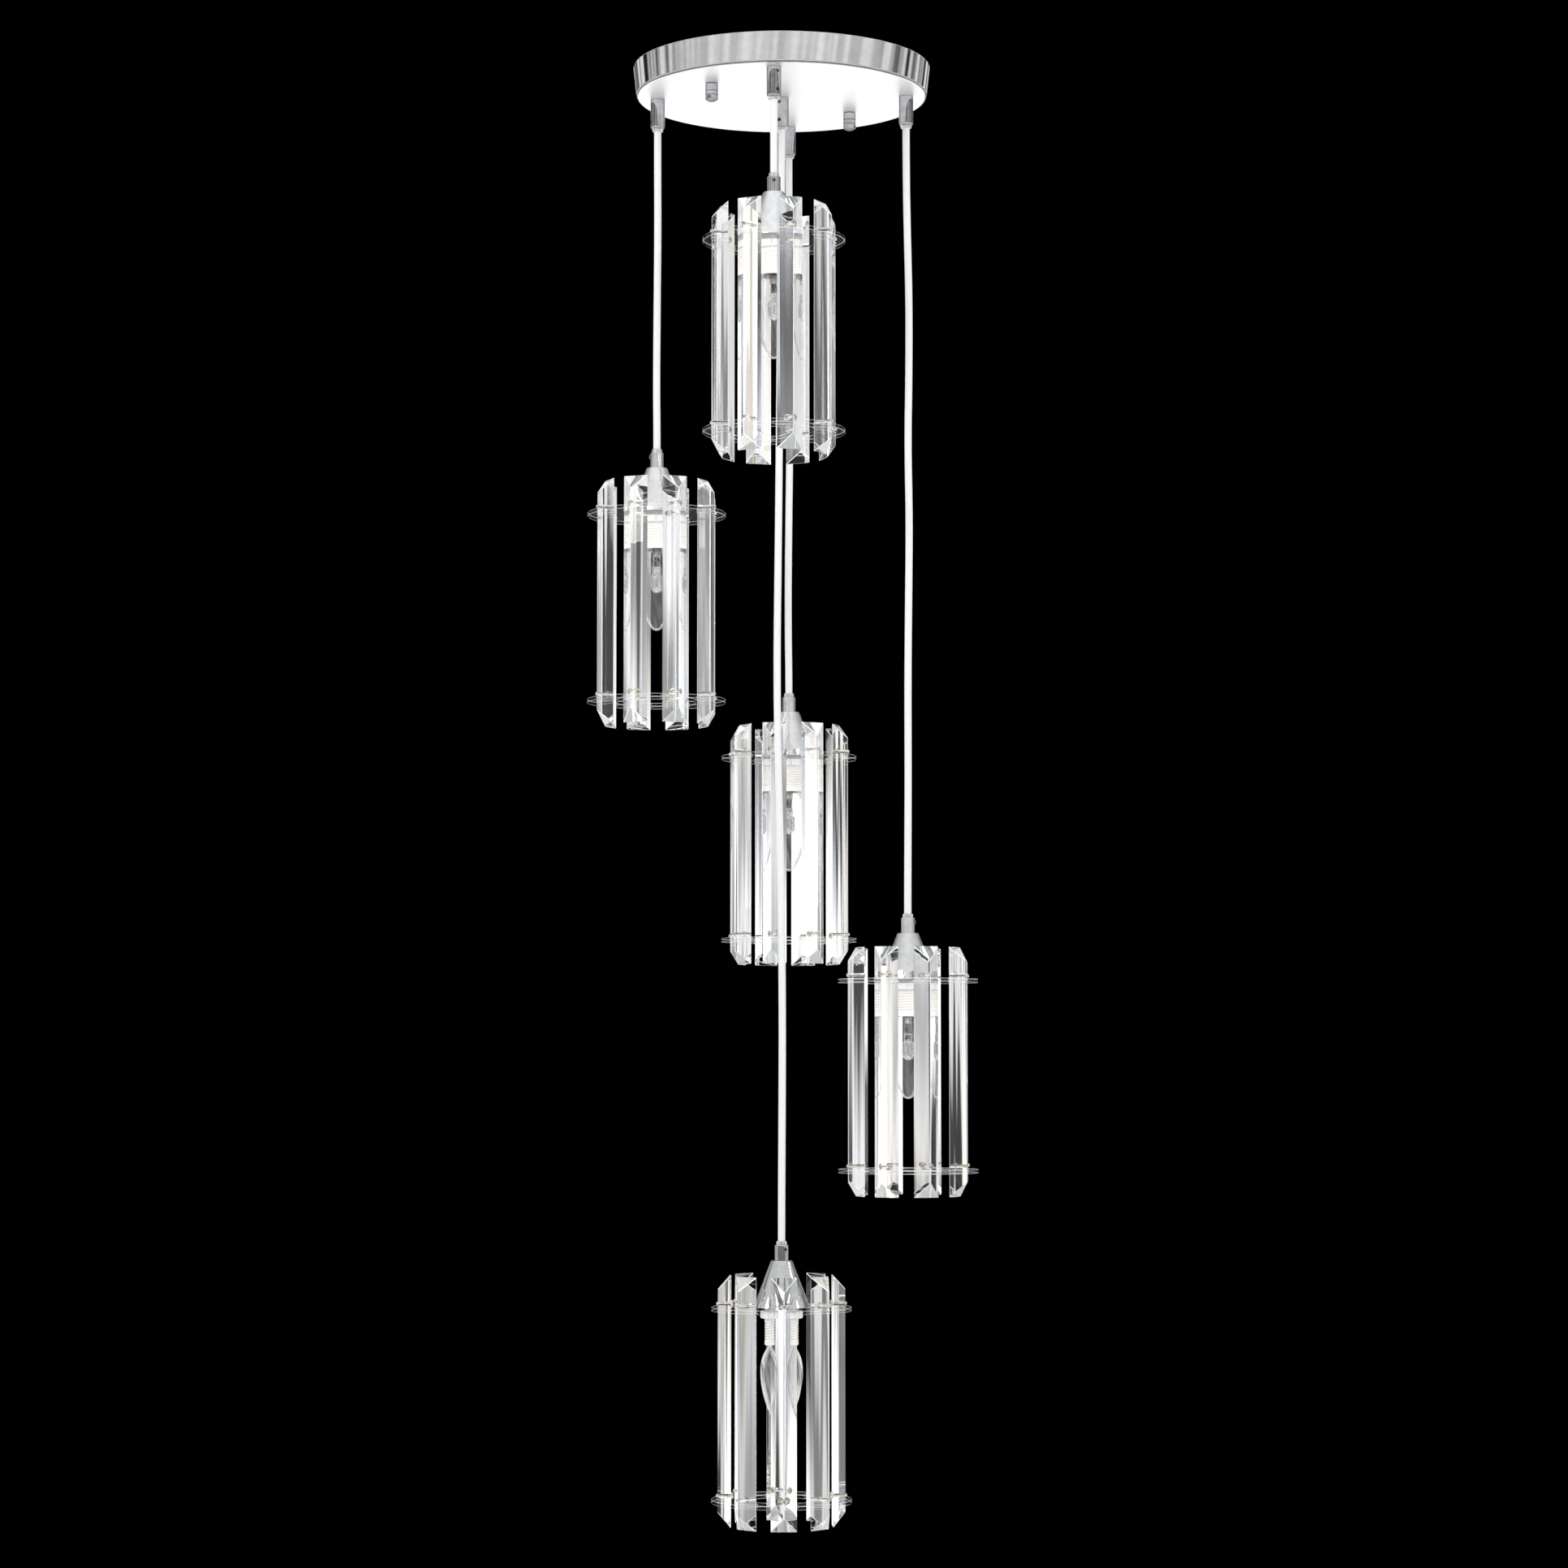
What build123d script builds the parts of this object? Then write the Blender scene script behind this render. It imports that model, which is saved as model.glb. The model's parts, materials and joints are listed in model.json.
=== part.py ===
"""Cluster pendant: a chrome canopy with five glass prism shades on clear cables.

Millimetres, +Z up. The origin is the centre of the ceiling plane, which is the top of the canopy.
The side from which the light is normally seen is -Y. A shade is built round its own vertical axis
with the top of its upper disc at zero height, then moved to its place under its gland.
"""

import math
import os

from build123d import *

# ---------------------------------------------------------------------------------------------
# Fits
# ---------------------------------------------------------------------------------------------
THREAD_CLEARANCE = 0.1           # between a modelled screw and what it is screwed into
PLAIN_CLEARANCE = 0.15           # round a screw or stud in a plain hole
OVERRUN = 1.0                    # by which a cut passes the face that it opens

# ---------------------------------------------------------------------------------------------
# Cable
# ---------------------------------------------------------------------------------------------
CABLE_RADIUS = 3.0
CABLE_IN_GLAND = 0.5             # gap round the cable in a gland
CABLE_IN_GRIP = 0.35             # gap round the cable in a cord grip
PIVOT_DROP = 0.5                 # pivot of the swing, below the gland's mouth
TAIL_GAP = 0.4                   # between the cable's round end and the clamped tail
CABLE_TOP_RUN = 34.0             # straight run below the pivot
CABLE_END_RUN = 26.0             # straight run into the cord grip

# Slight waves of each cable: drop below the pivot, then the offset in X and in Y.
CABLE_WAVES = (
    (),
    ((88.0, 0.4, -0.3), (160.0, -0.2, 0.5), (222.0, -0.5, 0.4)),
    (
        (80.0, 0.5, 0.4),
        (150.0, 1.3, 1.0),
        (225.0, 1.1, 0.6),
        (300.0, 0.2, -0.5),
        (370.0, -0.6, -0.9),
        (425.0, -0.5, -0.4),
    ),
    (
        (80.0, 0.6, -0.4),
        (150.0, 2.2, -0.9),
        (215.0, 1.9, -0.2),
        (270.0, 0.9, 0.7),
        (335.0, 2.1, 1.1),
        (400.0, 1.3, 0.5),
        (470.0, 0.5, -0.3),
        (545.0, 0.6, -0.8),
        (615.0, 0.2, -0.4),
    ),
    (
        (78.0, -0.3, 0.4),
        (150.0, -0.9, 1.1),
        (225.0, -1.6, 1.2),
        (300.0, -2.2, 0.5),
        (375.0, -3.0, -0.6),
        (450.0, -3.9, -1.2),
        (520.0, -3.3, -1.0),
        (590.0, -1.5, -0.1),
        (665.0, -0.1, 0.9),
        (740.0, 0.7, 1.3),
        (815.0, 0.5, 0.6),
        (880.0, 0.1, 0.1),
    ),
)

# ---------------------------------------------------------------------------------------------
# Canopy
# ---------------------------------------------------------------------------------------------
CANOPY_RIM_RADIUS = 125.0
CANOPY_FLOOR_RADIUS = 122.2
CANOPY_HEIGHT = 25.0
CANOPY_WALL = 1.2
CANOPY_INNER_ROUND = 1.3         # inside the lower edge

GLAND_INSET = 17.2               # gland's axis from the edge of the canopy's floor
GLAND_CROSS_TURN = -3.4          # degrees, the cross of glands is set slightly clockwise
GLAND_RADIUS = 6.0
GLAND_LENGTH = 24.5
GLAND_MOUTH_ROUND = 1.6
SPIGOT_WALL = 1.25
SPIGOT_CLEARANCE = 0.25          # in the canopy's hole
SPIGOT_PROUD = 1.0               # of the locknut
LOCKNUT_RIM = 2.25               # from the spigot to a flat of the nut
LOCKNUT_HEIGHT = 3.0

SET_SCREW_RADIUS = 1.5
SET_SCREW_SUNK = 0.4             # below the gland's side
SET_SCREW_GAP = 0.1              # between a screw's tip and the cable
SET_SCREW_TOP_DROP = 4.0         # upper screw, below the canopy
SET_SCREW_MOUTH_RISE = 5.2       # lower screw, above the gland's mouth
GLAND_SCREW_TURNS = (-60.0, -165.0, 75.0, -15.0, -110.0)

COLLAR_HEIGHT = 2.5
COLLAR_THROAT_GAP = 0.3          # round the cable, at the gland
COLLAR_LIP_GAP = 0.6             # round the cable, at the lip, where it stops the swing
COLLAR_WALL = 1.0

# ---------------------------------------------------------------------------------------------
# Ceiling bracket, studs and cap nuts
# ---------------------------------------------------------------------------------------------
BRACKET_TURN = 41.0              # degrees from +X
BRACKET_WIDTH = 22.0
BRACKET_THICKNESS = 2.0
BRACKET_END = 10.0               # bar past each stud
BRACKET_CORNER_ROUND = 5.0
CEILING_HOLE_CIRCLE = 60.0       # diameter
CEILING_HOLE_RADIUS = 2.5
SUPPLY_HOLE_RADIUS = 8.0

STUD_CIRCLE_RADIUS = 77.0
STUD_RADIUS = 2.0
STUD_COLLAR_RADIUS = 4.0
STUD_COLLAR_HEIGHT = 3.2
STUD_IN_NUT = 10.0
STUD_TOP_DROP = 0.5              # stud's top below the ceiling

CAP_NUT_RADIUS = 5.3
CAP_NUT_LENGTH = 15.5
CAP_NUT_BORE_SPARE = 1.0         # bore past the stud's end
CAP_NUT_SHOULDER = 0.8
CAP_NUT_GROOVE_DEPTH = 0.7
CAP_NUT_GROOVE_WIDTH = 1.1
CAP_NUT_GROOVE_DROPS = (6.2, 9.6)
CAP_NUT_DOME = 2.2

# ---------------------------------------------------------------------------------------------
# Terminal block and the leads inside the canopy
# ---------------------------------------------------------------------------------------------
BLOCK_FROM_STUD = 4.0            # between the block and a stud's collar
BLOCK_LENGTH = 30.0
BLOCK_WIDTH = 17.0
BLOCK_HEIGHT = 11.0
BLOCK_CHAMFER = 1.0
BLOCK_POLES = 3
BLOCK_SCREW_RADIUS = 1.8
BLOCK_SCREW_LENGTH = 3.0
BLOCK_SCREW_SUNK = 1.0
BLOCK_SCREW_INSET = 4.6          # screw's axis from the block's side
LEAD_RADIUS = 1.6
TAIL_ABOVE_SPIGOT = 2.0

# ---------------------------------------------------------------------------------------------
# Pendants: top of the upper disc below the canopy's underside, turn of the shade and of the
# cord grip's screw, in the order near, left, far, right, centre
# ---------------------------------------------------------------------------------------------
DISC_DROPS = (142.0, 352.0, 549.0, 743.0, 1013.5)
SHADE_TURNS = (-5.0, 0.0, 5.5, -4.0, 25.0)
GRIP_SCREW_TURNS = (-90.0, -170.0, 60.0, -10.0, -60.0)

# ---------------------------------------------------------------------------------------------
# Cord grip, hollow rod and cone
# ---------------------------------------------------------------------------------------------
GRIP_RADIUS = 5.5
GRIP_LENGTH = 13.0
GRIP_ROUND = 0.6
GRIP_SCREW_DROP = 3.6            # below the grip's top
GRIP_SCREW_PROUD = 1.0
GRIP_COLLAR_WALL = 0.85
GRIP_COLLAR_HEIGHT = 3.0

CORE_RADIUS = 1.0
CORE_GAP = 0.6                   # between the two cores
CORE_TO_ROD = 0.3
CORE_END_RISE = 1.0              # above the roof of the bulb's seat
ROD_WALL = 1.4
ROD_IN_GRIP = 4.5
ROD_IN_HOLDER = 6.0
CABLE_ABOVE_ROD = 0.6

CONE_HEIGHT = 38.0
CONE_BASE_RADIUS = 23.4
CONE_TOP_RADIUS = 8.7
CONE_WALL = 1.0
CONE_TOP_THICKNESS = 1.2
CONE_TOP_ROUND = 0.8

# ---------------------------------------------------------------------------------------------
# Prisms, discs and their screws
# ---------------------------------------------------------------------------------------------
PRISM_COUNT = 8
PRISM_BACK_RADIUS = 42.0         # flat back, from the shade's axis
PRISM_DEPTH = 11.0
PRISM_WIDTH = 22.0
PRISM_ABOVE_DISC = 26.5
PRISM_BELOW_DISC = 22.5          # below the top of the lower disc
PRISM_END_SLANT = 12.0           # the ridge is this much shorter at each end
PRISM_EDGE_CHAMFER = 0.5

DISC_THICKNESS = 3.0
DISC_SPACING = 157.0             # between the tops of the two discs
DISC_OUTER_RIM = 5.0             # outside the prisms' ridges
DISC_INNER_RIM = 9.0             # inside the prisms' backs, lower disc
DISC_EDGE_CHAMFER = 0.3
CUT_OUT_CLEARANCE = 0.3

SCREW_RADIUS = 1.3
SCREW_HEAD_RADIUS = 2.8
SCREW_HEAD_HEIGHT = 2.0
SCREW_HEAD_ROUND = 0.9
SCREW_TIP_CHAMFER = 0.4
SCREW_ABOVE_DISC = 0.2           # between a head and the disc
SCREW_PROUD = 1.0                # of the ridge
SCREW_RECESS_WIDTH = 0.7
SCREW_RECESS_LENGTH = 3.0
SCREW_RECESS_DEPTH = 1.0

# ---------------------------------------------------------------------------------------------
# Bulb cap, which sets the lampholder's bores
# ---------------------------------------------------------------------------------------------
CAP_RADIUS = 6.9
CAP_THREAD_DEPTH = 0.7
CAP_THREAD_PITCH = 2.82
CAP_THREAD_TURNS = 5
CAP_LAND = 1.2                   # plain end above the thread
CAP_SKIRT_RADIUS = 8.5
CAP_SKIRT_LENGTH = 4.6
CAP_FLARE_LENGTH = 2.6
CAP_WALL = 0.35
INSULATOR_HEIGHT = 2.5
CONTACT_RADIUS = 2.4
CONTACT_HEIGHT = 1.2

# ---------------------------------------------------------------------------------------------
# Bulb glass and what stands inside it
# ---------------------------------------------------------------------------------------------
BULB_LENGTH = 97.0               # from contact to tip
BULB_RADIUS = 17.5
BULB_WIDEST_RISE = 47.0          # above the tip
BULB_NECK_RADIUS = 8.0
BULB_NECK_IN_CAP = 4.0
BULB_TIP_RADIUS = 5.6
BULB_GLASS = 0.8
FLARE_GAP = 0.3                  # between the stem's flare and the neck
FLARE_THICKNESS = 0.8
STEM_RADIUS = 3.4
STEM_LENGTH = 13.0
WIRE_RADIUS = 0.5
WIRE_SPACING = 5.0
WIRE_LENGTH = 8.0
BURNER_RADIUS = 4.9
BURNER_LENGTH = 22.0

# ---------------------------------------------------------------------------------------------
# Lampholder
# ---------------------------------------------------------------------------------------------
HOLDER_RADIUS = 14.0
HOLDER_DROP = 31.0               # mouth below the top of the upper disc
HOLDER_WALL = 1.6
HOLDER_THREAD_PITCH = 2.2
HOLDER_THREAD_DEPTH = 0.6
HOLDER_THREAD_TURNS = 8
HOLDER_THREAD_RISE = 2.6         # first groove above the mouth
HOLDER_SHOULDER_RISE = 6.0       # above the disc, where the body narrows
HOLDER_NECK_RADIUS = 11.0
HOLDER_TOP_RISE = 22.0
HOLDER_HOLE_CLEARANCE = 0.3
HOLDER_CONTACT_HEIGHT = 1.5
BULB_CLEARANCE = 0.5             # between the bulb and the lampholder
SLEEVE_WALL = 0.6
RING_NUT_RIM = 3.5
RING_NUT_HEIGHT = 6.0
RING_NUT_CHAMFER = 0.5
RING_NUT_NOTCHES = 12
RING_NUT_NOTCH_WIDTH = 2.0
RING_NUT_NOTCH_DEPTH = 0.8

# ---------------------------------------------------------------------------------------------
# Radii that follow from the sizes
# ---------------------------------------------------------------------------------------------
GLAND_CIRCLE_RADIUS = CANOPY_FLOOR_RADIUS - GLAND_INSET
GLAND_BORE_RADIUS = CABLE_RADIUS + CABLE_IN_GLAND
SPIGOT_RADIUS = GLAND_BORE_RADIUS + SPIGOT_WALL
GRIP_BORE_RADIUS = CABLE_RADIUS + CABLE_IN_GRIP
SCREW_TIP_RADIUS = CABLE_RADIUS + SET_SCREW_GAP
CORE_SPACING = 2 * CORE_RADIUS + CORE_GAP
ROD_BORE_RADIUS = CORE_SPACING / 2 + CORE_RADIUS + CORE_TO_ROD
ROD_RADIUS = ROD_BORE_RADIUS + ROD_WALL
PRISM_RIDGE_RADIUS = PRISM_BACK_RADIUS + PRISM_DEPTH
DISC_RADIUS = PRISM_RIDGE_RADIUS + DISC_OUTER_RIM
LOWER_HOLE_RADIUS = PRISM_BACK_RADIUS - DISC_INNER_RIM
SLEEVE_RADIUS = CAP_RADIUS + BULB_CLEARANCE + SLEEVE_WALL

# ---------------------------------------------------------------------------------------------
# Heights in the canopy, from the ceiling
# ---------------------------------------------------------------------------------------------
UNDERSIDE = -CANOPY_HEIGHT
CANOPY_INNER_FLOOR = UNDERSIDE + CANOPY_WALL
GLAND_MOUTH = UNDERSIDE - GLAND_LENGTH
GLAND_SCREW_HEIGHTS = (UNDERSIDE - SET_SCREW_TOP_DROP, GLAND_MOUTH + SET_SCREW_MOUTH_RISE)
SPIGOT_TOP = CANOPY_INNER_FLOOR + LOCKNUT_HEIGHT + SPIGOT_PROUD
PIVOT = GLAND_MOUTH - PIVOT_DROP
LEAD_HEIGHT = -BRACKET_THICKNESS - BLOCK_HEIGHT / 2
BLOCK_END = STUD_CIRCLE_RADIUS - STUD_COLLAR_RADIUS - BLOCK_FROM_STUD
BLOCK_START = BLOCK_END - BLOCK_LENGTH

# ---------------------------------------------------------------------------------------------
# Heights in a shade, from the top of its upper disc
# ---------------------------------------------------------------------------------------------
GRIP_TOP = CONE_HEIGHT + GRIP_LENGTH
ROD_TOP = CONE_HEIGHT + ROD_IN_GRIP
ROD_BOTTOM = HOLDER_TOP_RISE - ROD_IN_HOLDER
CABLE_END = ROD_TOP + CABLE_ABOVE_ROD
HOLDER_MOUTH = -HOLDER_DROP
BULB_TOP = -HOLDER_CONTACT_HEIGHT - BULB_CLEARANCE
CAP_TOP = BULB_TOP - CONTACT_HEIGHT - INSULATOR_HEIGHT
THREAD_LOW = CAP_TOP - CAP_LAND - CAP_THREAD_TURNS * CAP_THREAD_PITCH
SKIRT_TOP = THREAD_LOW - CAP_FLARE_LENGTH
CAP_BOTTOM = SKIRT_TOP - CAP_SKIRT_LENGTH
BULB_TIP = BULB_TOP - BULB_LENGTH
SLEEVE_LOW = THREAD_LOW + BULB_CLEARANCE
LOWER_DISC_TOP = -DISC_SPACING
PRISM_BOTTOM = LOWER_DISC_TOP - PRISM_BELOW_DISC
SCREW_RISE = SCREW_ABOVE_DISC + SCREW_HEAD_RADIUS
SCREW_HEIGHTS = (SCREW_RISE, LOWER_DISC_TOP + SCREW_RISE)

FOOT = (Align.CENTER, Align.CENTER, Align.MIN)
HANG = (Align.CENTER, Align.CENTER, Align.MAX)


# ---------------------------------------------------------------------------------------------
# Helpers
# ---------------------------------------------------------------------------------------------
def polar(radius: float, degrees: float) -> tuple[float, float]:
    """Return X and Y of a place on a circle round the origin."""
    angle = math.radians(degrees)
    return radius * math.cos(angle), radius * math.sin(angle)


def gland_places() -> list[tuple[float, float]]:
    """Return X and Y of the five glands: near, left, far, right and centre."""
    cross = [polar(GLAND_CIRCLE_RADIUS, start + GLAND_CROSS_TURN) for start in (-90, 180, 90, 0)]
    return cross + [(0.0, 0.0)]


def stud_places() -> list[tuple[float, float]]:
    """Return X and Y of the two studs of the ceiling bracket."""
    return [polar(STUD_CIRCLE_RADIUS, BRACKET_TURN + half) for half in (0, 180)]


def cylinder(radius: float, low: float, high: float) -> Part:
    """Return an upright cylinder round the Z axis between two heights."""
    return Pos(0, 0, low) * Cylinder(radius, high - low, align=FOOT)


def tube(outer: float, inner: float, low: float, high: float) -> Part:
    """Return an upright tube round the Z axis between two heights."""
    return cylinder(outer, low, high) - cylinder(inner, low - OVERRUN, high + OVERRUN)


def side_hole(radius: float, reach: float, height: float) -> Part:
    """Return a drill along +X from the Z axis at a height."""
    return Pos(0, 0, height) * Rot(0, 90, 0) * cylinder(radius, 0, reach)


def turned(points: list[tuple[float, float]]) -> Part:
    """Return the solid turned round the Z axis from an outline of radii and heights."""
    outline = Polyline(*[(radius, 0, height) for radius, height in points], close=True)
    return revolve(make_face(outline), axis=Axis.Z)


def set_screw(length: float) -> Part:
    """Return a headless screw with a hexagon socket, its tip at the origin, along +X."""
    socket = Pos(0, 0, length / 2) * extrude(RegularPolygon(SET_SCREW_RADIUS / 2, 6), length)
    return Rot(0, 90, 0) * (cylinder(SET_SCREW_RADIUS, 0, length) - socket)


def corner_radii(points: list[Vector], share: float = 0.45) -> list[float]:
    """Return for each corner the largest arc that its two runs allow."""
    radii = []
    for before, corner, after in zip(points, points[1:], points[2:]):
        run_in = corner - before
        run_out = after - corner
        half_turn = math.radians(run_in.get_angle(run_out)) / 2
        radii.append(share * min(run_in.length, run_out.length) / math.tan(half_turn))
    return radii


def swept_tube(name: str, points: list[Vector], radius: float) -> Part:
    """Return a round tube along straight runs joined by tangent arcs."""
    radii = corner_radii(points)
    route = FilletPolyline(*points, radius=radii) if radii else Line(*points)
    section = Plane(origin=route @ 0, z_dir=route % 0) * Circle(radius)
    solid = sweep(section, path=route)
    expected = math.pi * radius**2 * route.length
    print(f"{name}: length {route.length:.1f}, radii {[round(r) for r in radii]},", end=" ")
    print(f"volume {solid.volume:.0f} of {expected:.0f}")
    return solid


def write(name: str, shapes: list) -> None:
    """Write one sub-part's solids to its own file."""
    solids = [solid for shape in shapes for solid in shape.solids()]
    node = solids[0] if len(solids) == 1 else Compound(children=solids)
    node.label = name
    export_step(node, f"parts/{name}.step")


# ---------------------------------------------------------------------------------------------
# Canopy and what is fixed to it
# ---------------------------------------------------------------------------------------------
def cup(inset: float, low: float) -> Part:
    """Return the canopy's tapered form, set in from its outer face."""
    form = Pos(0, 0, low) * Cone(
        CANOPY_FLOOR_RADIUS - inset,
        CANOPY_RIM_RADIUS - inset,
        -low,
        align=FOOT,
    )
    lower_edge = form.edges().sort_by(Axis.Z)[0]
    return fillet(lower_edge, CANOPY_INNER_ROUND + CANOPY_WALL - inset)


def canopy() -> Part:
    """Drawn cup, open towards the ceiling, with holes for the glands and the studs."""
    shell = cup(0.0, UNDERSIDE) - cup(CANOPY_WALL, CANOPY_INNER_FLOOR)
    spigot_hole = cylinder(SPIGOT_RADIUS + SPIGOT_CLEARANCE, UNDERSIDE - OVERRUN, 0)
    stud_hole = cylinder(STUD_RADIUS + PLAIN_CLEARANCE, UNDERSIDE - OVERRUN, 0)
    shell -= [Pos(x, y, 0) * spigot_hole for x, y in gland_places()]
    shell -= [Pos(x, y, 0) * stud_hole for x, y in stud_places()]
    return shell


def ceiling_bracket() -> Part:
    """Flat bar against the ceiling, with two ceiling holes, a supply hole and two stud holes."""
    length = 2 * (STUD_CIRCLE_RADIUS + BRACKET_END)
    bar = Box(length, BRACKET_WIDTH, BRACKET_THICKNESS, align=HANG)
    bar = fillet(bar.edges().filter_by(Axis.Z), BRACKET_CORNER_ROUND)
    drill_low = -BRACKET_THICKNESS - OVERRUN
    bar -= cylinder(SUPPLY_HOLE_RADIUS, drill_low, OVERRUN)
    for side in (-1, 1):
        ceiling_hole = cylinder(CEILING_HOLE_RADIUS, drill_low, OVERRUN)
        stud_hole = cylinder(STUD_RADIUS + PLAIN_CLEARANCE, drill_low, OVERRUN)
        bar -= Pos(side * CEILING_HOLE_CIRCLE / 2, 0, 0) * ceiling_hole
        bar -= Pos(side * STUD_CIRCLE_RADIUS, 0, 0) * stud_hole
    return Rot(0, 0, BRACKET_TURN) * bar


def bracket_studs() -> list[Part]:
    """Two threaded rods with a collar under the bar."""
    collar_low = -BRACKET_THICKNESS - STUD_COLLAR_HEIGHT
    stud = cylinder(STUD_RADIUS, UNDERSIDE - STUD_IN_NUT, -STUD_TOP_DROP)
    stud += cylinder(STUD_COLLAR_RADIUS, collar_low, -BRACKET_THICKNESS)
    return [Pos(x, y, 0) * stud for x, y in stud_places()]


def cap_nuts() -> list[Part]:
    """Two turned nuts with two grooves and a domed end, under the canopy."""
    root = CAP_NUT_RADIUS - CAP_NUT_GROOVE_DEPTH
    side = CAP_NUT_DOME - CAP_NUT_LENGTH
    outline = [(0, 0), (CAP_NUT_RADIUS - CAP_NUT_SHOULDER, 0), (CAP_NUT_RADIUS, -CAP_NUT_SHOULDER)]
    for drop in CAP_NUT_GROOVE_DROPS:
        outline += [
            (CAP_NUT_RADIUS, -drop),
            (root, -drop - CAP_NUT_GROOVE_WIDTH / 4),
            (root, -drop - CAP_NUT_GROOVE_WIDTH * 3 / 4),
            (CAP_NUT_RADIUS, -drop - CAP_NUT_GROOVE_WIDTH),
        ]
    outline += [(CAP_NUT_RADIUS, side)]
    lines = Polyline(*[(radius, 0, height) for radius, height in outline])
    dome = TangentArc((0, 0, -CAP_NUT_LENGTH), (CAP_NUT_RADIUS, 0, side), tangent=(1, 0, 0))
    axis_line = Line((0, 0, -CAP_NUT_LENGTH), (0, 0, 0))
    nut = revolve(make_face([*lines.edges(), dome, axis_line]), axis=Axis.Z)
    bore_depth = STUD_IN_NUT + CAP_NUT_BORE_SPARE
    nut -= cylinder(STUD_RADIUS + THREAD_CLEARANCE, -bore_depth, OVERRUN)
    return [Pos(x, y, UNDERSIDE) * nut for x, y in stud_places()]


def canopy_glands() -> list[Part]:
    """Five tubes under the canopy, each with a hollow spigot up through it and two side holes."""
    gland = cylinder(GLAND_RADIUS, GLAND_MOUTH, UNDERSIDE)
    gland = fillet(gland.edges().sort_by(Axis.Z)[0], GLAND_MOUTH_ROUND)
    gland += cylinder(SPIGOT_RADIUS, UNDERSIDE, SPIGOT_TOP)
    gland -= cylinder(GLAND_BORE_RADIUS, GLAND_MOUTH - OVERRUN, SPIGOT_TOP + OVERRUN)
    for height in GLAND_SCREW_HEIGHTS:
        gland -= side_hole(SET_SCREW_RADIUS + THREAD_CLEARANCE, GLAND_RADIUS + OVERRUN, height)
    places = zip(gland_places(), GLAND_SCREW_TURNS)
    return [Pos(x, y, 0) * Rot(0, 0, turn) * gland for (x, y), turn in places]


def gland_set_screws() -> list[Part]:
    """Two set screws in each gland."""
    screw = set_screw(GLAND_RADIUS - SET_SCREW_SUNK - SCREW_TIP_RADIUS)
    screws = []
    for (x, y), turn in zip(gland_places(), GLAND_SCREW_TURNS):
        gland = Pos(x, y, 0) * Rot(0, 0, turn)
        screws += [gland * Pos(SCREW_TIP_RADIUS, 0, height) * screw for height in GLAND_SCREW_HEIGHTS]
    return screws


def gland_locknuts() -> list[Part]:
    """Five hexagon nuts on the spigots, on the canopy's floor."""
    flat_radius = SPIGOT_RADIUS + LOCKNUT_RIM
    nut = extrude(RegularPolygon(flat_radius, 6, major_radius=False), LOCKNUT_HEIGHT)
    nut -= cylinder(SPIGOT_RADIUS + THREAD_CLEARANCE, -OVERRUN, LOCKNUT_HEIGHT + OVERRUN)
    return [Pos(x, y, CANOPY_INNER_FLOOR) * nut for x, y in gland_places()]


def gland_collars() -> list[Part]:
    """Five clear flared collars under the glands, whose lips stop the cables' swing."""
    low = GLAND_MOUTH - COLLAR_HEIGHT
    throat = CABLE_RADIUS + COLLAR_THROAT_GAP
    lip = CABLE_RADIUS + COLLAR_LIP_GAP
    collar = cylinder(lip + COLLAR_WALL, low, GLAND_MOUTH)
    collar -= Pos(0, 0, low) * Cone(lip, throat, COLLAR_HEIGHT, align=FOOT)
    return [Pos(x, y, 0) * collar for x, y in gland_places()]


def terminal_block() -> list[Part]:
    """Block under the bracket with a pair of clamp screws for each pole."""
    middle = (BLOCK_START + BLOCK_END) / 2
    low = -BRACKET_THICKNESS - BLOCK_HEIGHT
    block = Pos(middle, 0, low) * Box(BLOCK_LENGTH, BLOCK_WIDTH, BLOCK_HEIGHT, align=FOOT)
    block = chamfer(block.edges().filter_by(Axis.Z), BLOCK_CHAMFER)
    well_top = low + BLOCK_SCREW_SUNK + BLOCK_SCREW_LENGTH
    screws = []
    for pole in range(BLOCK_POLES):
        for side in (-1, 1):
            x = BLOCK_START + (pole + 0.5) * BLOCK_LENGTH / BLOCK_POLES
            y = side * (BLOCK_WIDTH / 2 - BLOCK_SCREW_INSET)
            well = cylinder(BLOCK_SCREW_RADIUS + THREAD_CLEARANCE, low - OVERRUN, well_top)
            screw = cylinder(BLOCK_SCREW_RADIUS, low + BLOCK_SCREW_SUNK, well_top)
            block -= Pos(x, y, 0) * well
            screws.append(Pos(x, y, 0) * screw)
    return [Rot(0, 0, BRACKET_TURN) * piece for piece in (block, *screws)]


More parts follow.
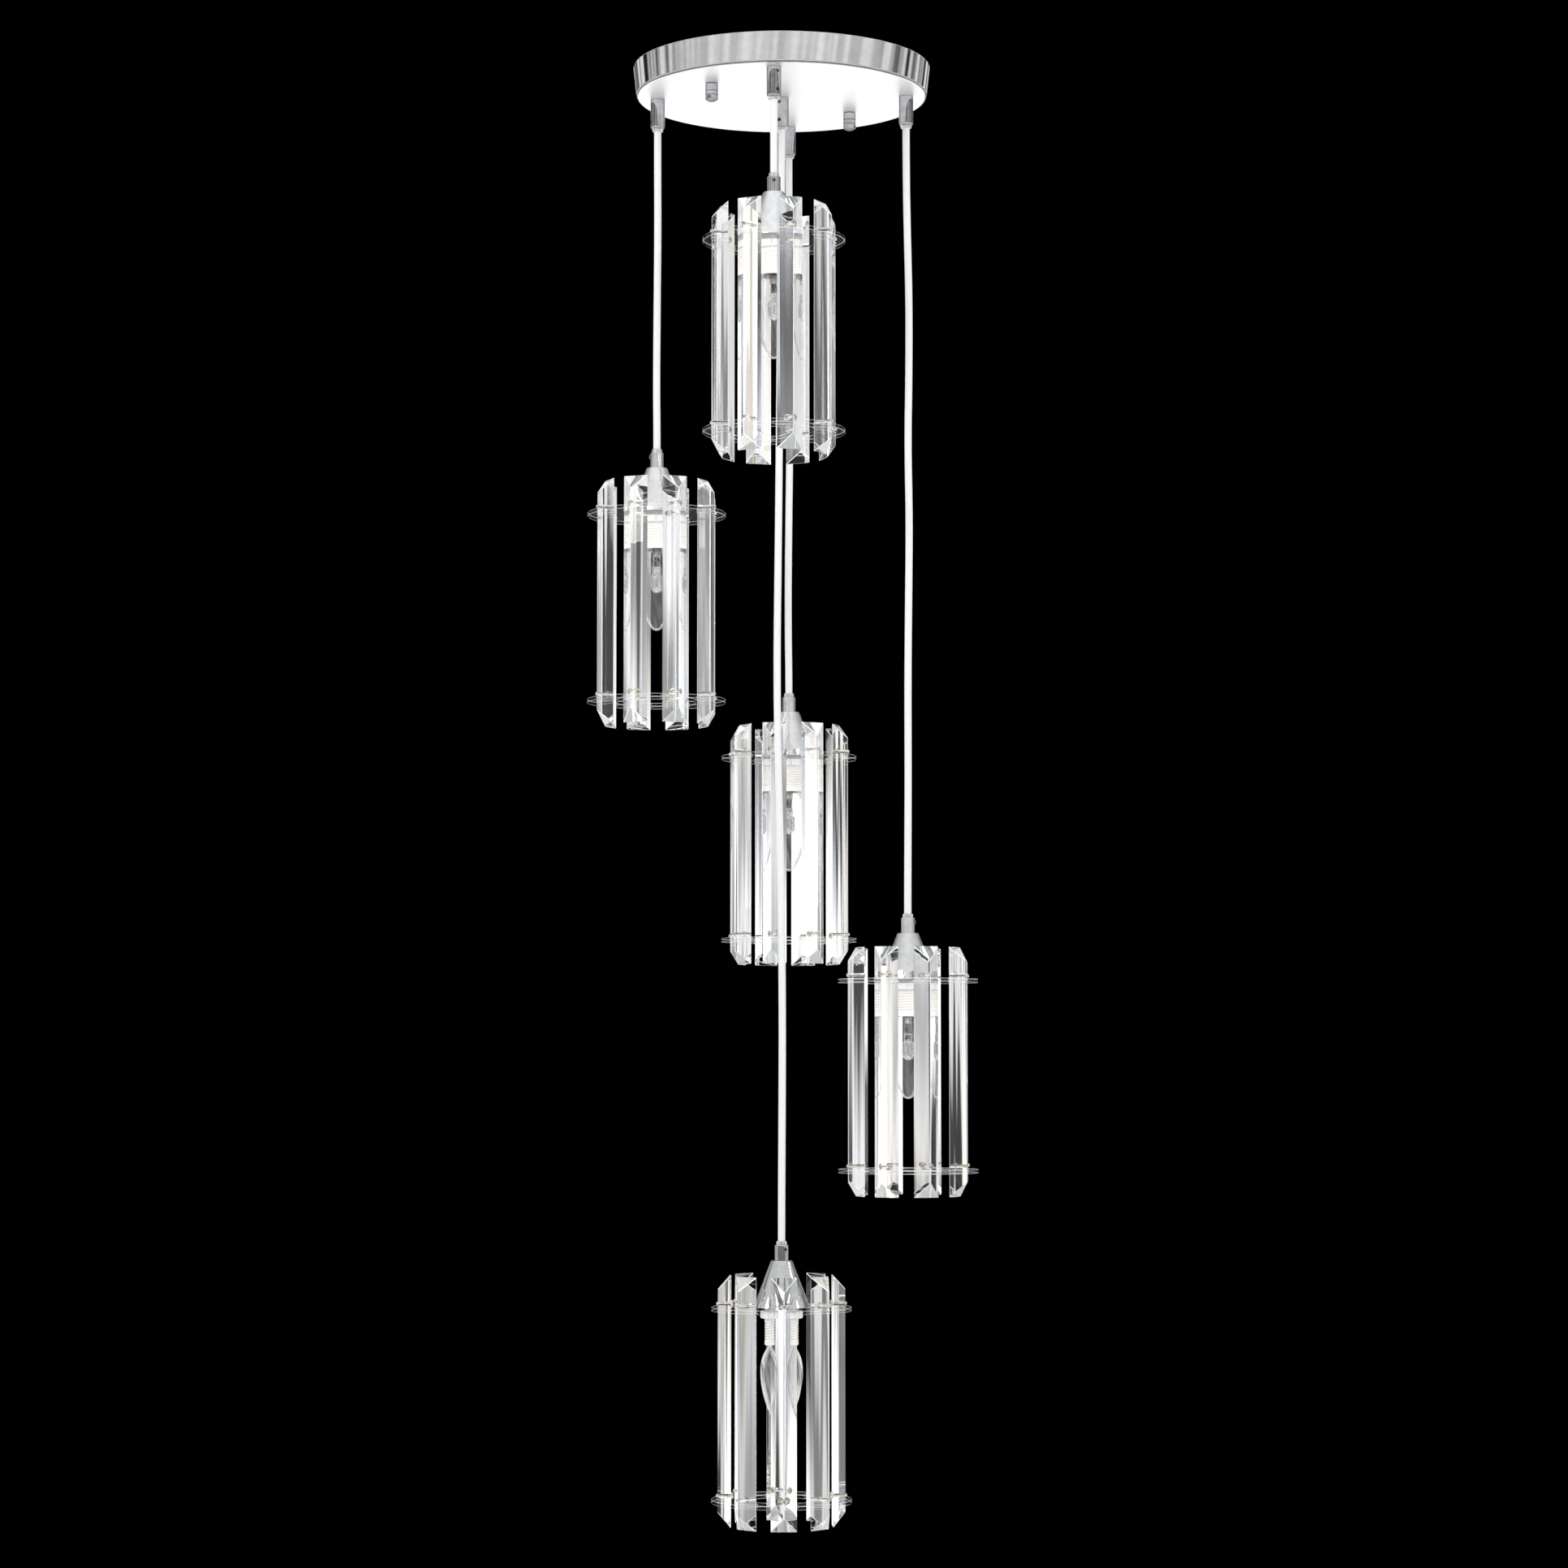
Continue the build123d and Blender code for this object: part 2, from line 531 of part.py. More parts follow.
def canopy_leads() -> list[Part]:
    """Clamped cable tails inside the glands, each with its sleeved cores to the terminal block."""
    along = Vector(*polar(1, BRACKET_TURN))
    across = Vector(*polar(1, BRACKET_TURN + 90))
    level = Vector(0, 0, LEAD_HEIGHT)
    side = BLOCK_WIDTH / 2
    first = BLOCK_START + BLOCK_LENGTH / 4
    second = BLOCK_END - BLOCK_LENGTH / 4
    bow = GLAND_CIRCLE_RADIUS / 4
    # Corners between gland and block, along and across the bracket.
    corners = (
        [(-bow, -2.1 * bow), (first, -1.1 * bow), (first, -side)],
        [(-bow, 2.1 * bow), (first, 1.1 * bow), (first, side)],
        [(second, 1.2 * bow), (second, side)],
        [(second, -1.2 * bow), (second, -side)],
        [(BLOCK_START, 0.0)],
    )
    tail_low = PIVOT + CABLE_RADIUS + TAIL_GAP
    tail_high = SPIGOT_TOP + TAIL_ABOVE_SPIGOT
    leads = []
    for number, ((x, y), route) in enumerate(zip(gland_places(), corners), start=1):
        points = [Vector(x, y, tail_high), Vector(x, y, LEAD_HEIGHT)]
        points += [along * s + across * t + level for s, t in route]
        tail = Pos(x, y, 0) * cylinder(CABLE_RADIUS, tail_low, tail_high)
        leads.append(tail + swept_tube(f"lead {number}", points, LEAD_RADIUS))
    return leads


# ---------------------------------------------------------------------------------------------
# Cable
# ---------------------------------------------------------------------------------------------
def cable(index: int) -> Part:
    """Cable from its round end at the pivot down into the cord grip."""
    x, y = gland_places()[index]
    end = UNDERSIDE - DISC_DROPS[index] + CABLE_END
    lowest_wave = PIVOT - end - CABLE_END_RUN - CABLE_TOP_RUN / 2
    waves = [wave for wave in CABLE_WAVES[index] if wave[0] < lowest_wave]
    points = [Vector(x, y, PIVOT)]
    if waves:
        points.append(Vector(x, y, PIVOT - CABLE_TOP_RUN))
        points += [Vector(x + dx, y + dy, PIVOT - drop) for drop, dx, dy in waves]
        points.append(Vector(x, y, end + CABLE_END_RUN))
    points.append(Vector(x, y, end))
    ball = Sphere(CABLE_RADIUS)
    ball -= Box(3 * CABLE_RADIUS, 3 * CABLE_RADIUS, 2 * CABLE_RADIUS, align=HANG)
    return swept_tube(f"cable {index + 1}", points, CABLE_RADIUS) + Pos(x, y, PIVOT) * ball


# ---------------------------------------------------------------------------------------------
# Shade
# ---------------------------------------------------------------------------------------------
def cord_grip() -> list[Part]:
    """Barrel on the cone, its set screw along +X and its clear collar."""
    height = GRIP_TOP - GRIP_SCREW_DROP
    barrel = cylinder(GRIP_RADIUS, CONE_HEIGHT, GRIP_TOP)
    barrel = fillet(barrel.edges().sort_by(Axis.Z)[-1], GRIP_ROUND)
    barrel -= cylinder(GRIP_BORE_RADIUS, ROD_TOP, GRIP_TOP + OVERRUN)
    barrel -= cylinder(ROD_RADIUS + THREAD_CLEARANCE, CONE_HEIGHT - OVERRUN, ROD_TOP)
    barrel -= side_hole(SET_SCREW_RADIUS + THREAD_CLEARANCE, GRIP_RADIUS + OVERRUN, height)
    screw = set_screw(GRIP_RADIUS + GRIP_SCREW_PROUD - SCREW_TIP_RADIUS)
    collar_radius = GRIP_BORE_RADIUS + GRIP_COLLAR_WALL
    collar = tube(collar_radius, GRIP_BORE_RADIUS, GRIP_TOP, GRIP_TOP + GRIP_COLLAR_HEIGHT)
    return [barrel, Pos(SCREW_TIP_RADIUS, 0, height) * screw, collar]


def shade_cone() -> Part:
    """Spun cone with a flat top that the rod passes through."""
    cone = Cone(CONE_BASE_RADIUS, CONE_TOP_RADIUS, CONE_HEIGHT, align=FOOT)
    cone = fillet(cone.edges().sort_by(Axis.Z)[-1], CONE_TOP_ROUND)
    slope = (CONE_BASE_RADIUS - CONE_TOP_RADIUS) / CONE_HEIGHT
    room_base = CONE_BASE_RADIUS - CONE_WALL * math.hypot(1, slope)
    room_height = CONE_HEIGHT - CONE_TOP_THICKNESS
    cone -= Cone(room_base, room_base - slope * room_height, room_height, align=FOOT)
    return cone - cylinder(ROD_RADIUS + THREAD_CLEARANCE, 0, CONE_HEIGHT + OVERRUN)


def prism_section(growth: float = 0.0) -> Sketch:
    """Three-sided section with its ridge along +X, grown all round for a cut-out."""
    half_width = PRISM_WIDTH / 2
    edge = math.hypot(half_width, PRISM_DEPTH)
    ridge = PRISM_RIDGE_RADIUS + growth * edge / half_width
    corner = half_width + growth * (edge + half_width) / PRISM_DEPTH
    back = PRISM_BACK_RADIUS - growth
    return make_face(Polyline((back, -corner), (ridge, 0), (back, corner), close=True))


def prism_turns() -> list[float]:
    """Return the directions of the prisms, with two of them either side of the front."""
    pitch = 360 / PRISM_COUNT
    return [-90 + pitch / 2 + pitch * number for number in range(PRISM_COUNT)]


def prism() -> Part:
    """One glass bar, its ridge along +X from the axis, with slanted ends and two screw holes."""
    side_view = Polyline(
        (PRISM_BACK_RADIUS, 0, PRISM_ABOVE_DISC),
        (PRISM_RIDGE_RADIUS, 0, PRISM_ABOVE_DISC - PRISM_END_SLANT),
        (PRISM_RIDGE_RADIUS, 0, PRISM_BOTTOM + PRISM_END_SLANT),
        (PRISM_BACK_RADIUS, 0, PRISM_BOTTOM),
        close=True,
    )
    bar = Pos(0, 0, PRISM_BOTTOM) * extrude(prism_section(), PRISM_ABOVE_DISC - PRISM_BOTTOM)
    bar &= extrude(make_face(side_view), PRISM_WIDTH, both=True)
    bar = chamfer(bar.edges(), PRISM_EDGE_CHAMFER)
    for height in SCREW_HEIGHTS:
        bar -= side_hole(SCREW_RADIUS + PLAIN_CLEARANCE, PRISM_RIDGE_RADIUS + OVERRUN, height)
    return bar


def prism_screw() -> Part:
    """Pan-head screw along +X through a prism, its head against the flat back."""
    face = PRISM_BACK_RADIUS - SCREW_HEAD_HEIGHT
    shank = cylinder(SCREW_RADIUS, PRISM_BACK_RADIUS, PRISM_RIDGE_RADIUS + SCREW_PROUD)
    shank = chamfer(shank.edges().sort_by(Axis.Z)[-1], SCREW_TIP_CHAMFER)
    head = cylinder(SCREW_HEAD_RADIUS, face, PRISM_BACK_RADIUS)
    head = fillet(head.edges().sort_by(Axis.Z)[0], SCREW_HEAD_ROUND)
    slot = Box(SCREW_RECESS_WIDTH, SCREW_RECESS_LENGTH, SCREW_RECESS_DEPTH, align=FOOT)
    head -= [Pos(0, 0, face) * Rot(0, 0, turn) * slot for turn in (0, 90)]
    return Rot(0, 90, 0) * (head + shank)


def disc(hole_radius: float, top: float) -> Part:
    """Clear disc with a centre hole and a three-sided cut-out for each prism."""
    low = top - DISC_THICKNESS
    plate = chamfer(cylinder(DISC_RADIUS, low, top).edges(), DISC_EDGE_CHAMFER)
    plate -= cylinder(hole_radius, low - OVERRUN, top + OVERRUN)
    cut_out = extrude(prism_section(CUT_OUT_CLEARANCE), DISC_THICKNESS + 2 * OVERRUN)
    return plate - [Rot(0, 0, turn) * Pos(0, 0, low - OVERRUN) * cut_out for turn in prism_turns()]


# ---------------------------------------------------------------------------------------------
# Lampholder
# ---------------------------------------------------------------------------------------------
def core_places() -> list[Pos]:
    """Return the places of the two cores in the hollow rod."""
    return [Pos(side * CORE_SPACING / 2, 0, 0) for side in (-1, 1)]


def holder_body() -> Part:
    """White body with its outer thread, bored for the bulb's cap, the sleeve and the rod."""
    outline = [(0, HOLDER_TOP_RISE), (HOLDER_NECK_RADIUS, HOLDER_TOP_RISE)]
    shoulder = HOLDER_RADIUS - HOLDER_NECK_RADIUS
    outline += [(HOLDER_NECK_RADIUS, HOLDER_SHOULDER_RISE + shoulder)]
    outline += [(HOLDER_RADIUS, HOLDER_SHOULDER_RISE)]
    root = HOLDER_RADIUS - HOLDER_THREAD_DEPTH
    for turn in reversed(range(HOLDER_THREAD_TURNS)):
        low = HOLDER_MOUTH + HOLDER_THREAD_RISE + turn * HOLDER_THREAD_PITCH
        outline += [
            (HOLDER_RADIUS, low + HOLDER_THREAD_PITCH * 2 / 3),
            (root, low + HOLDER_THREAD_PITCH / 2),
            (root, low + HOLDER_THREAD_PITCH / 4),
            (HOLDER_RADIUS, low),
        ]
    outline += [(HOLDER_RADIUS, HOLDER_MOUTH), (0, HOLDER_MOUTH)]
    body = turned(outline)
    body -= cylinder(HOLDER_RADIUS - HOLDER_WALL, HOLDER_MOUTH - OVERRUN, SLEEVE_LOW)
    body -= cylinder(SLEEVE_RADIUS, HOLDER_MOUTH - OVERRUN, 0)
    body -= cylinder(ROD_RADIUS + THREAD_CLEARANCE, ROD_BOTTOM, HOLDER_TOP_RISE + OVERRUN)
    passage = cylinder(CORE_RADIUS + PLAIN_CLEARANCE, CORE_END_RISE, ROD_BOTTOM + OVERRUN)
    return body - [place * passage for place in core_places()]


def ring_nut() -> Part:
    """Notched ring nut under the upper disc."""
    low = -DISC_THICKNESS - RING_NUT_HEIGHT
    outer = HOLDER_RADIUS + RING_NUT_RIM
    nut = chamfer(cylinder(outer, low, -DISC_THICKNESS).edges(), RING_NUT_CHAMFER)
    nut -= cylinder(HOLDER_RADIUS + THREAD_CLEARANCE, low - OVERRUN, OVERRUN)
    notch = Box(2 * RING_NUT_NOTCH_DEPTH, RING_NUT_NOTCH_WIDTH, RING_NUT_HEIGHT, align=FOOT)
    pitch = 360 / RING_NUT_NOTCHES
    return nut - [Rot(0, 0, pitch * n) * Pos(outer, 0, low) * notch for n in range(RING_NUT_NOTCHES)]


def lampholder() -> list[Part]:
    """Body, ring nut, screw sleeve, centre contact, hollow rod and two cores."""
    sleeve = tube(SLEEVE_RADIUS, SLEEVE_RADIUS - SLEEVE_WALL, SLEEVE_LOW, 0)
    contact = cylinder(CONTACT_RADIUS, -HOLDER_CONTACT_HEIGHT, 0)
    rod = tube(ROD_RADIUS, ROD_BORE_RADIUS, ROD_BOTTOM, ROD_TOP)
    core = cylinder(CORE_RADIUS, CORE_END_RISE, ROD_TOP)
    cores = [place * core for place in core_places()]
    return [holder_body(), ring_nut(), sleeve, contact, rod, *cores]


# ---------------------------------------------------------------------------------------------
# Bulb
# ---------------------------------------------------------------------------------------------
def bulb_form(inset: float) -> Part:
    """Return the solid candle form, set in from the glass's outer face.

    The flank is an arc that starts upright at the widest place and runs into the round nose. The
    triangle between the arc's centre and the nose's centre gives the place where the two meet.
    """
    top = CAP_BOTTOM + BULB_NECK_IN_CAP
    nose_centre = BULB_TIP + BULB_TIP_RADIUS
    rise = BULB_WIDEST_RISE - BULB_TIP_RADIUS
    spread = BULB_RADIUS - BULB_TIP_RADIUS
    between_centres = (rise**2 + spread**2) / (2 * spread)
    nose_radius = BULB_TIP_RADIUS - inset
    nose_x = nose_radius * (between_centres - spread) / between_centres
    nose_z = nose_centre - nose_radius * rise / between_centres
    neck = (BULB_NECK_RADIUS - inset, 0, CAP_BOTTOM)
    widest = (BULB_RADIUS - inset, 0, BULB_TIP + BULB_WIDEST_RISE)
    tip = (0, 0, BULB_TIP + inset)
    neck_line = Line((neck[0], 0, top), neck)
    shoulder = TangentArc(widest, neck, tangent=(0, 0, 1))
    flank = TangentArc(widest, (nose_x, 0, nose_z), tangent=(0, 0, -1))
    nose = TangentArc(tip, flank @ 1, tangent=(1, 0, 0))
    middle_line = Line(tip, (0, 0, top))
    top_line = Line((0, 0, top), neck_line @ 0)
    outline = [neck_line, shoulder, flank, nose, middle_line, top_line]
    return revolve(make_face(outline), axis=Axis.Z)


def bulb_glass() -> list[Part]:
    """Envelope, and inside it the burner on its flared stem and wires."""
    flare_top = CAP_BOTTOM + BULB_NECK_IN_CAP
    flare_radius = BULB_NECK_RADIUS - BULB_GLASS - FLARE_GAP
    stem_low = flare_top - STEM_LENGTH
    burner_top = stem_low - WIRE_LENGTH
    ball = burner_top - BURNER_LENGTH + BURNER_RADIUS
    burner = cylinder(flare_radius, flare_top - FLARE_THICKNESS, flare_top)
    burner += cylinder(STEM_RADIUS, stem_low, flare_top)
    for side in (-1, 1):
        wire = cylinder(WIRE_RADIUS, ball, stem_low + WIRE_RADIUS)
        burner += Pos(side * WIRE_SPACING / 2, 0, 0) * wire
    burner += cylinder(BURNER_RADIUS, ball, burner_top)
    burner += Pos(0, 0, ball) * Sphere(BURNER_RADIUS)
    return [bulb_form(0.0) - bulb_form(BULB_GLASS), burner]


def bulb_cap() -> list[Part]:
    """Brass screw cap, and above it the insulator with the centre contact."""
    root = CAP_RADIUS - CAP_THREAD_DEPTH
    outline = [(0, CAP_TOP), (root, CAP_TOP)]
    for turn in reversed(range(CAP_THREAD_TURNS)):
        low = THREAD_LOW + turn * CAP_THREAD_PITCH
        outline += [
            (root, low + CAP_THREAD_PITCH * 0.95),
            (CAP_RADIUS, low + CAP_THREAD_PITCH * 0.6),
            (CAP_RADIUS, low + CAP_THREAD_PITCH * 0.4),
            (root, low + CAP_THREAD_PITCH * 0.05),
        ]
    outline += [(CAP_SKIRT_RADIUS, SKIRT_TOP), (CAP_SKIRT_RADIUS, CAP_BOTTOM), (0, CAP_BOTTOM)]
    shell = turned(outline)
    inner = root - CAP_WALL
    shell -= cylinder(inner, CAP_BOTTOM - OVERRUN, CAP_TOP - CAP_WALL)
    shell -= cylinder(CAP_SKIRT_RADIUS - CAP_WALL, CAP_BOTTOM - OVERRUN, SKIRT_TOP)
    insulator = Pos(0, 0, CAP_TOP) * Cone(inner, CONTACT_RADIUS, INSULATOR_HEIGHT, align=FOOT)
    insulator += cylinder(CONTACT_RADIUS, CAP_TOP + INSULATOR_HEIGHT, BULB_TOP)
    return [shell, insulator]


# ---------------------------------------------------------------------------------------------
# Assembly
# ---------------------------------------------------------------------------------------------
def shade_pieces() -> dict[str, list[Part]]:
    """Return the sub-parts of one shade round its own axis."""
    bar = prism()
    screw = prism_screw()
    turns = [Rot(0, 0, turn) for turn in prism_turns()]
    return {
        "shade_cone": [shade_cone()],
        "upper_disc": [disc(HOLDER_RADIUS + HOLDER_HOLE_CLEARANCE, 0.0)],
        "lower_disc": [disc(LOWER_HOLE_RADIUS, LOWER_DISC_TOP)],
        "prisms": [turn * bar for turn in turns],
        "prism_screws": [turn * Pos(0, 0, z) * screw for turn in turns for z in SCREW_HEIGHTS],
        "lampholder": lampholder(),
        "bulb_glass": bulb_glass(),
        "bulb_cap": bulb_cap(),
    }


def main() -> None:
    """Write every sub-part."""
    os.makedirs("parts", exist_ok=True)
    write("canopy", [canopy()])
    write("ceiling_bracket", [ceiling_bracket()])
    write("bracket_studs", bracket_studs())
    write("cap_nuts", cap_nuts())
    write("canopy_glands", canopy_glands())
    write("gland_set_screws", gland_set_screws())
    write("gland_locknuts", gland_locknuts())
    write("gland_collars", gland_collars())
    write("terminal_block", terminal_block())
    write("canopy_leads", canopy_leads())
    grip = cord_grip()
    shade = shade_pieces()
    for index, (x, y) in enumerate(gland_places()):
        place = Pos(x, y, UNDERSIDE - DISC_DROPS[index])
        grip_place = place * Rot(0, 0, GRIP_SCREW_TURNS[index])
        shade_place = place * Rot(0, 0, SHADE_TURNS[index])
        write(f"cable_{index + 1}", [cable(index)])
        write(f"cord_grip_{index + 1}", [grip_place * piece for piece in grip])
        for name, pieces in shade.items():
            write(f"{name}_{index + 1}", [shade_place * piece for piece in pieces])


main()
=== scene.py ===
"""Cluster pendant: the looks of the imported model.

Metres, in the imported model's frame: +Z up, the ceiling at zero height, and the side from which the
light is seen at -Y. A piece is modelled in millimetres round its own upright axis and then moved.
"""

import json
import logging
import math
from collections.abc import Iterator
from contextlib import contextmanager
from dataclasses import dataclass
from enum import Enum

import bpy
from mathutils import Matrix, Vector

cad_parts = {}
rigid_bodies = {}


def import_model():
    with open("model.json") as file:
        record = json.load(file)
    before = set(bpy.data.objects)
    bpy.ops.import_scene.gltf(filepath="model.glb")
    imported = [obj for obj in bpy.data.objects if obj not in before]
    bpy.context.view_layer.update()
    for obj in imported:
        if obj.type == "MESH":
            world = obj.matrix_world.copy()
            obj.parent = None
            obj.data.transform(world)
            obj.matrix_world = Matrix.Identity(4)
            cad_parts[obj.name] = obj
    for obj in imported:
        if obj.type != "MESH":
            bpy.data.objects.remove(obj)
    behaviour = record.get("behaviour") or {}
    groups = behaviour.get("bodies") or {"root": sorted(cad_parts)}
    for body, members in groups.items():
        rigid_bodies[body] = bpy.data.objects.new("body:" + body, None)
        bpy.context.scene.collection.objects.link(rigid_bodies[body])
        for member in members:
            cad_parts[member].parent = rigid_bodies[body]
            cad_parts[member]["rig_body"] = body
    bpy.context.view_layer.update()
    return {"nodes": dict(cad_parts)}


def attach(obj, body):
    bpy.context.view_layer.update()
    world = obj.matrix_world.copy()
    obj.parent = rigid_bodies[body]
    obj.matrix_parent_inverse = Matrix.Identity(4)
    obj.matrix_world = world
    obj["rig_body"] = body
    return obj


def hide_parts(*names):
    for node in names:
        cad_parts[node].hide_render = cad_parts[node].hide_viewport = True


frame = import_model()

LOG = logging.getLogger("cluster_pendant")
MM = 0.001
DOUBLES = 0.002 * MM
GROOVE = "groove"

Outline = list[tuple[float, float]]
Colour = tuple[float, float, float]


# ---------------------------------------------------------------------------------------------
# Modelling bench
# ---------------------------------------------------------------------------------------------
class Axis(Enum):
    """Direction along which a form is laid, as a turn from upright."""

    UPRIGHT = Matrix.Identity(4)
    OUTWARD = Matrix.Rotation(math.radians(90), 4, "Y")


class Shading(Enum):
    """Largest angle, in degrees, between faces that are shaded as one surface."""

    FACETED = 8.0
    TURNED = 32.0
    MOULDED = 50.0


def pick(piece: bpy.types.Object) -> None:
    """Select one piece alone and make it active.

    Args:
        piece: The piece to work on.
    """
    bpy.ops.object.select_all(action="DESELECT")
    piece.select_set(True)
    bpy.context.view_layer.objects.active = piece


@contextmanager
def edited(piece: bpy.types.Object) -> Iterator[None]:
    """Work on a piece in edit mode with everything selected.

    Args:
        piece: The piece to work on.

    Yields:
        Nothing.
    """
    pick(piece)
    bpy.ops.object.mode_set(mode="EDIT")
    bpy.ops.mesh.select_mode(type="VERT")
    bpy.ops.mesh.select_all(action="SELECT")
    yield
    bpy.ops.object.mode_set(mode="OBJECT")


def chain(name: str, points: list[tuple[float, float, float]], closed: bool) -> bpy.types.Object:
    """Draw a chain of edges by extruding one vertex from point to point.

    Args:
        name: The new piece's name.
        points: The chain's points, in millimetres.
        closed: Whether the last point is joined to the first.

    Returns:
        The new piece.
    """
    bpy.ops.object.select_all(action="DESELECT")
    bpy.ops.mesh.primitive_plane_add(size=MM)
    piece = bpy.context.object
    piece.name = piece.data.name = name
    with edited(piece):
        bpy.ops.mesh.merge(type="CENTER")
        bpy.ops.transform.translate(value=Vector(points[0]) * MM)
        ends = points[1:] + points[:1] if closed else points[1:]
        for start, end in zip(points, ends):
            step = (Vector(end) - Vector(start)) * MM
            bpy.ops.mesh.extrude_region_move(TRANSFORM_OT_translate={"value": step})
        bpy.ops.mesh.select_all(action="SELECT")
        bpy.ops.mesh.remove_doubles(threshold=DOUBLES)
    return piece


def turned(name: str, outline: Outline, steps: int = 64, closed: bool = True) -> bpy.types.Object:
    """Turn an outline round the Z axis.

    Args:
        name: The new piece's name.
        outline: Radii and heights, in millimetres.
        steps: Faces round the axis.
        closed: Whether the outline is a ring. If not, it starts and ends on the axis.

    Returns:
        The new piece.
    """
    piece = chain(name, [(radius, 0, height) for radius, height in outline], closed)
    with edited(piece):
        bpy.ops.mesh.spin(steps=steps, angle=math.tau, center=(0, 0, 0), axis=(0, 0, 1))
        bpy.ops.mesh.select_all(action="SELECT")
        bpy.ops.mesh.remove_doubles(threshold=DOUBLES)
        bpy.ops.mesh.normals_make_consistent(inside=False)
    return piece


def lathed(
    name: str, outline: Outline, steps: int = 64, closed: bool = True, shading: Shading = Shading.TURNED
) -> bpy.types.Object:
    """Turn an outline round the Z axis and shade it smooth, with the arguments of turned() and smoothed()."""
    return smoothed(turned(name, outline, steps, closed), shading)


def bar(name: str, section: Outline, low: float, high: float) -> bpy.types.Object:
    """Extrude an upright bar from the corners of its section.

    Args:
        name: The new piece's name.
        section: The section's corners, in millimetres.
        low: Height of the lower end, in millimetres.
        high: Height of the upper end, in millimetres.

    Returns:
        The new piece.
    """
    piece = chain(name, [(x, y, low) for x, y in section], closed=True)
    with edited(piece):
        bpy.ops.mesh.edge_face_add()
        rise = (0, 0, (high - low) * MM)
        bpy.ops.mesh.extrude_region_move(TRANSFORM_OT_translate={"value": rise})
        bpy.ops.mesh.select_all(action="SELECT")
        bpy.ops.mesh.normals_make_consistent(inside=False)
    return piece


def applied(piece: bpy.types.Object, kind: str, **settings: object) -> bpy.types.Object:
    """Add one modifier to a piece and apply it.

    Args:
        piece: The piece to change.
        kind: The modifier's type.
        settings: The modifier's settings.

    Returns:
        The same piece.
    """
    pick(piece)
    modifier = piece.modifiers.new(kind.lower(), kind)
    for setting, value in settings.items():
        setattr(modifier, setting, value)
    bpy.ops.object.modifier_apply(modifier=modifier.name)
    return piece


def cut(piece: bpy.types.Object, cutters: list[bpy.types.Object]) -> bpy.types.Object:
    """Cut closed forms out of a piece.

    Args:
        piece: The piece to cut.
        cutters: The forms to take away, which are used up.

    Returns:
        The same piece.
    """
    for cutter in cutters:
        applied(piece, "BOOLEAN", object=cutter, operation="DIFFERENCE", solver="EXACT")
        bpy.data.objects.remove(cutter)
    return piece


def bevelled(piece: bpy.types.Object, width: float, segments: int = 2, material: int = -1) -> bpy.types.Object:
    """Round the edges of a piece that are sharper than 35 degrees.

    Args:
        piece: The piece to change.
        width: Width of the bevel, in millimetres.
        segments: Faces across the bevel.
        material: Number of the finish that the bevel takes, or -1 for its neighbours' finish.

    Returns:
        The same piece.
    """
    limit = math.radians(35)
    settings = {"width": width * MM, "segments": segments, "angle_limit": limit, "material": material}
    return applied(piece, "BEVEL", limit_method="ANGLE", **settings)


def smoothed(piece: bpy.types.Object, shading: Shading) -> bpy.types.Object:
    """Shade a piece smooth up to an angle, its flats kept flat.

    Args:
        piece: The piece to change.
        shading: How far apart two faces may lean.

    Returns:
        The same piece.
    """
    pick(piece)
    bpy.ops.object.shade_smooth_by_angle(angle=math.radians(shading.value))
    return applied(piece, "WEIGHTED_NORMAL", keep_sharp=True, weight=100)


def laid(piece: bpy.types.Object, matrix: Matrix) -> bpy.types.Object:
    """Move the mesh of a piece by a matrix in metres, and return the piece."""
    piece.data.transform(matrix)
    return piece


def copied(piece: bpy.types.Object, name: str, matrix: Matrix) -> bpy.types.Object:
    """Copy a piece with its own mesh and move that mesh.

    Args:
        piece: The piece to copy.
        name: The copy's name.
        matrix: The move, in metres.

    Returns:
        The copy.
    """
    copy = piece.copy()
    copy.data = piece.data.copy()
    copy.name = copy.data.name = name
    bpy.context.scene.collection.objects.link(copy)
    return laid(copy, matrix)


def joined(name: str, pieces: list[bpy.types.Object]) -> bpy.types.Object:
    """Join pieces into one.

    Args:
        name: The joined piece's name.
        pieces: The pieces to join.

    Returns:
        The joined piece.
    """
    pick(pieces[0])
    for piece in pieces[1:]:
        piece.select_set(True)
    bpy.ops.object.join()
    pieces[0].name = pieces[0].data.name = name
    return pieces[0]


def spread(piece: bpy.types.Object, name: str, places: list[Matrix]) -> bpy.types.Object:
    """Copy a piece to each place, join the copies and drop the pattern.

    Args:
        piece: The pattern, which is used up.
        name: The joined piece's name.
        places: The move for each copy, in metres.

    Returns:
        The joined piece.
    """
    copies = [copied(piece, f"{name}.{number}", place) for number, place in enumerate(places)]
    bpy.data.objects.remove(piece)
    return joined(name, copies)


def wound(piece: bpy.types.Object, thread: "Thread") -> bpy.types.Object:
    """Wind a screw thread into the rows of a turned wall.

    Args:
        piece: The turned piece, whose wall has plain rows where the thread goes.
        thread: The thread's sizes.

    Returns:
        The same piece.
    """
    shares = piece.data.attributes.new(GROOVE, "FLOAT", "POINT")
    for vertex in piece.data.vertices:
        radius = math.hypot(vertex.co.x, vertex.co.y) / MM
        height = vertex.co.z / MM
        if abs(radius - thread.radius) > 0.05 or not thread.low < height < thread.high:
            continue
        angle = math.atan2(vertex.co.y, vertex.co.x)
        share = thread.groove(height, angle)
        shares.data[vertex.index].value = share
        scale = 1 - thread.depth * share / radius
        vertex.co.x *= scale
        vertex.co.y *= scale
    return piece


